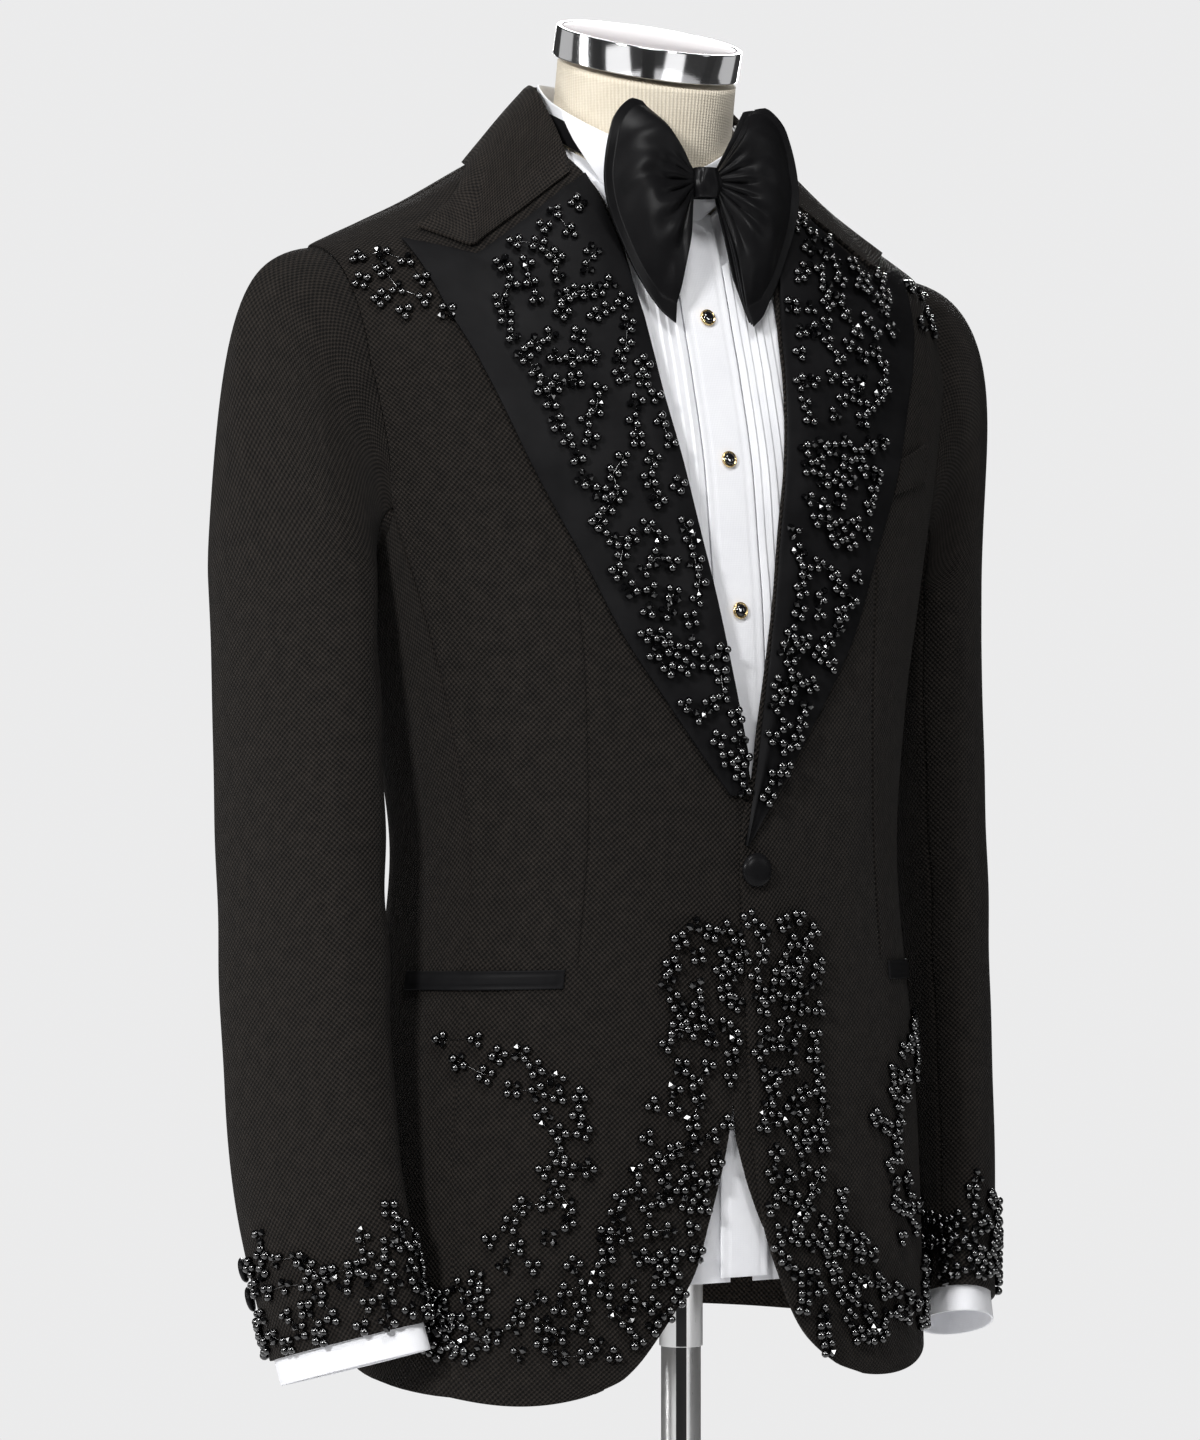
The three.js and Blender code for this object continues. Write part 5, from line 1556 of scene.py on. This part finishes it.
def beadPiece(name, plan, placeOf, side, rng, seed):
    places, threads = plan
    mirror = [1 if side == "left" else -1, 1, 1]
    points, normals = (vectors * mirror for vectors in placeOf(side, *places.T))
    points = points + normals * beading["size"] * beading["sunk"]
    mesh = bpy.data.meshes.new(name)
    mesh.from_pydata((points * mm).tolist(), threads, [])
    outwards = mesh.attributes.new("outwards", "FLOAT_VECTOR", "POINT")
    outwards.data.foreach_set("vector", normals.ravel())
    phase = mesh.attributes.new("phase", "FLOAT", "POINT")
    phase.data.foreach_set("value", rng.uniform(0, 6.28, len(points)))
    plain = newObject(name + "Plan", mesh)
    modifier = plain.modifiers.new("beads", "NODES")
    modifier.node_group = beadSprays
    values = {
        "Bead Size": beading["size"] * mm,
        "Beads Least": beading["least"],
        "Beads Most": beading["most"],
        "Thread Size": beading["thread"] * mm / 2,
        "Faceted Share": beading["faceted"],
        "Seed": seed,
        "Bead Finish": finish["bead"][1],
    }
    for socket in beadSprays.interface.items_tree:
        if socket.name in values:
            modifier[socket.identifier] = values[socket.name]
    piece = bake(plain, name)
    settle(piece, "form")
    return piece


def onFront(side, x, z, above=0.0):
    theta, level = placeAt(x, z)
    return onBody(theta, level, frontLift(side, x) + above), bodyNormal(theta, level)


def onLapel(side, x, z):
    return onFront(side, x, z, jacketCut["lapelLift"] + jacketCut["cloth"] + 0.6)


def onHem(side, arc, level):
    theta = np.degrees(arc / beading["hemRadius"])
    return onBody(theta, level), bodyNormal(theta, level)


def onCuff(side, arc, z):
    turn, down = arc / beading["cuffArc"], downAt(z)
    return sleevePoint(turn, down), sleeveNormal(turn, down)


def inLapel(side, x, z):
    if 1150 < z < 1465:
        row = rowAt(lapelRows, "z", min(z, lapelRows[-1]["z"]))
        wide = row["edge"] - row["roll"]
        outer = row["edge"] - 6 - 16 * smooth(z, 1180, 1400)
        return row["roll"] + 4 + 0.03 * wide < x < outer
    along = (gorge["x"] - x) / (gorge["x"] - gorge["rollX"])
    return z >= 1465 and 70 < x < 150 and z < mix(gorge["z"], gorge["rollZ"], along) - 7


frontReach = table(
    "z wide",
    (828, 98),
    (850, 122),
    (868, 84),
    (900, 70),
    (938, 57),
    (980, 54),
    (1040, 56),
    (1072, 54),
    (1085, 40),
)


def inFront(side, x, z):
    if not 828 < z < 1085:
        return False
    edge = float(rowAt(frontEdges, "z", z)[side])
    wide = np.interp(z, [row["z"] for row in frontReach], [row["wide"] for row in frontReach])
    return edge + 4 < x < edge + wide and (z > 832 + 0.03 * x or x < 60)


def inSpray(side, x, z):
    path = np.array([(152, 1006), (136, 996), (118, 980), (109, 960), (113, 936), (124, 915), (134, 898)])
    return np.hypot(*(path - (x, z)).T).min() < beading["sprayReach"]


def inHem(side, arc, level):
    rise = np.interp(arc, [150, 190, 250, 300], [52, 40, 44, 30])
    return 165 < arc < 300 and 0 < level - jacketCut["backHem"] < rise


def inCuff(side, arc, z):
    turn = arc / beading["cuffArc"]
    ragged = 10 * np.sin(turn * 0.07) + 5 * np.sin(turn * 0.19)
    atButtons = abs(wrapTurn(turn - button["cuffTurn"])) < 17 and 866 < z < 904
    return 846 < z < 896 + ragged and not atButtons


def inShoulder(side, x, z):
    return 160 + 0.45 * (z - 1432) < x < 199 and 1432 < z < 1476 - 0.25 * (x - 160)


# each area: where its plan lies, what is inside it, its corners and how many places are tried
beadAreas = {
    "lapel": (onLapel, inLapel, (0, 1140), (150, 1515), 1600),
    "front": (onFront, inFront, (-10, 826), (170, 1090), 2600),
    "spray": (onFront, inSpray, (85, 880), (180, 1035), 900),
    "hem": (onHem, inHem, (160, 830), (300, 890), 900),
    "cuff": (onCuff, inCuff, (-130, 846), (130, 915), 2600),
    "shoulder": (onFront, inShoulder, (155, 1430), (200, 1480), 120),
}
seed = beading["seed"]
for area, (placeOf, inside, low, high, tries) in beadAreas.items():
    for side in sides:
        rng = np.random.default_rng(seed)
        plan = sprayPlan(rng, inside, side, low, high, tries)
        piece = beadPiece(f"{area}Beads_{side}", plan, placeOf, side, rng, seed)
        print(piece.name, len(plan[0]), "clusters,", len(piece.data.polygons), "faces")
        seed += 1
print("beading done")


# Camera, light and floor
view = {"distance": 2.9, "aside": -0.0479, "height": 1.19, "azimuth": -31, "focal": 4900, "centreY": 735}
imageHigh = 1440


def aimCamera():
    data = bpy.data.cameras.new("camera")
    camera = newObject("camera", data)
    turn = np.radians(view["azimuth"])
    back = np.array([np.sin(turn), -np.cos(turn), 0])
    right = np.array([np.cos(turn), np.sin(turn), 0])
    camera.location = back * view["distance"] + right * view["aside"] + np.array([0, 0, view["height"]])
    camera.rotation_euler = (np.pi / 2, 0, turn)
    data.lens = view["focal"] / imageHigh * data.sensor_width
    data.shift_y = (view["centreY"] - imageHigh / 2) / imageHigh
    data.clip_end = 60
    bpy.context.scene.camera = camera


def faceTo(obj, place, target):
    obj.location = place
    obj.rotation_euler = (Vector(place) - Vector(target)).to_track_quat("Z", "Y").to_euler()


def areaLight(name, place, target, width, height, power):
    data = bpy.data.lights.new(name, "AREA")
    data.shape = "RECTANGLE"
    data.size, data.size_y = width, height
    data.energy = power
    lamp = newObject(name, data)
    faceTo(lamp, place, target)
    return lamp


def stageSurface(name, corners, colour, roughness):
    mesh = bpy.data.meshes.new(name)
    mesh.from_pydata(corners, [], [tuple(range(len(corners)))])
    values = {"Base Color": (*colour, 1), "Roughness": roughness}
    mesh.materials.append(shaded(newMaterial(name)[0], values))
    return newObject(name, mesh)


studio = {
    "background": (0.832, 0.832, 0.836),
    "ambient": 0.21,
    "gloss": 0.05,
    "floor": (0.80, 0.80, 0.805),
    "floorRadius": 3.2,
    "card": (0.01, 0.01, 0.01),
    "cardWide": 0.6,
    "cardHigh": 2.6,
}
jacketAt, ringAt = (0, 0, 1.2), (0, 0.038, 1.6)
# each lamp: its place, what it points at, its width, height and power
lamps = {
    "keyLight": ((-3.0, -1.7, 2.6), (0, 0, 1.25), 0.5, 0.6, 90),
    "rimLeft": ((-2.4, 1.2, 1.6), jacketAt, 0.5, 1.6, 24),
    "fillRight": ((2.2, -2.2, 1.9), jacketAt, 0.5, 0.9, 4),
    "topLight": ((-0.6, -1.6, 3.6), (0, 0, 1.3), 0.8, 0.8, 40),
    "backLight": ((1.9, 2.7, 2.4), jacketAt, 1.2, 1.6, 110),
}
# lamps that only glossy things show, with a brightness in place of a power:
# a sheen on all of it, two dots on each bead, and bands in the chrome
glints = {
    "sheenLeft": ((-2.58, -1.32, 2.4), jacketAt, 0.4, 0.4, 60),
    "sheenRight": ((0.05, -2.9, 2.4), jacketAt, 0.4, 0.4, 60),
    "beadLeft": ((-2.91, -0.73, 1.8), jacketAt, 0.85, 0.85, 24),
    "beadRight": ((0.73, -2.91, 1.8), jacketAt, 0.85, 0.85, 24),
    "bandLeft": ((-1.64, -0.6, 1.0), ringAt, 1.0, 1.1, 1.1),
    "bandRight": ((0.11, -1.62, 0.75), ringAt, 0.8, 1.1, 1.1),
    "bandFarLeft": ((-0.86, 1.6, 1.86), ringAt, 1.0, 0.6, 0.5),
    "bandFarRight": ((1.79, 0.05, 1.4), ringAt, 1.0, 0.6, 0.5),
}
cards = {"darkLeft": (-2.3, 0.3, 1.5), "darkRight": (1.9, -1.3, 1.5), "darkAhead": (-0.9, -1.5, 0.5)}


def lightWorld():
    # the camera sees a pale backdrop; the part is lit by a dimmer one, and mirrors one dimmer still
    world = bpy.data.worlds.new("studio")
    bpy.context.scene.world = world
    world.use_nodes = True
    tree = world.node_tree
    colour = (*studio["background"], 1)
    lit = tree.nodes["Background"]
    feed(tree, lit, {"Color": colour, "Strength": studio["ambient"]})
    seen = node(tree, "ShaderNodeBackground", {"Color": colour})
    mirrored = node(tree, "ShaderNodeBackground", {"Color": colour, "Strength": studio["gloss"]})
    path = node(tree, "ShaderNodeLightPath").outputs
    soft = {"Fac": path["Is Glossy Ray"], 1: lit.outputs[0], 2: mirrored.outputs[0]}
    soft = node(tree, "ShaderNodeMixShader", soft).outputs[0]
    both = node(tree, "ShaderNodeMixShader", {"Fac": path["Is Camera Ray"], 1: soft, 2: seen.outputs[0]})
    feed(tree, tree.nodes["World Output"], {"Surface": both.outputs[0]})
    bpy.context.scene.view_settings.view_transform = "Standard"


def lightStudio():
    for name, values in lamps.items():
        areaLight(name, *values)
    shownOn = {start: bpy.data.collections.new(start + "Pieces") for start in ("bead", "band")}
    for piece in bpy.data.objects:
        if "Beads" in piece.name or piece.name.startswith("studStone"):
            shownOn["bead"].objects.link(piece)
        elif piece.name in ("neckRim", "poleUpper", "polePost"):
            shownOn["band"].objects.link(piece)
    for name, (place, target, width, height, shine) in glints.items():
        lamp = areaLight(name, place, target, width, height, shine * np.pi * width * height)
        lamp.visible_diffuse = False
        lamp.visible_camera = False
        for start, pieces in shownOn.items():
            if name.startswith(start):
                lamp.light_linking.receiver_collection = pieces


def setStage():
    radius = studio["floorRadius"]
    turns = np.linspace(0, 2 * np.pi, 64, endpoint=False)
    ring = [(radius * np.cos(turn), radius * np.sin(turn), -0.001) for turn in turns]
    stageSurface("floor", ring, studio["floor"], 0.7)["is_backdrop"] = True
    wide, high = studio["cardWide"] / 2, studio["cardHigh"] / 2
    corners = [(-wide, -high, 0), (wide, -high, 0), (wide, high, 0), (-wide, high, 0)]
    for name, place in cards.items():
        card = stageSurface(name, corners, studio["card"], 0.9)
        faceTo(card, place, (0, 0, 1.4))
        card.visible_camera = False
        card.visible_diffuse = False
        card.visible_shadow = False
        card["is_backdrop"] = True


aimCamera()
lightWorld()
lightStudio()
setStage()
print("camera and lights set")

low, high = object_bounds()
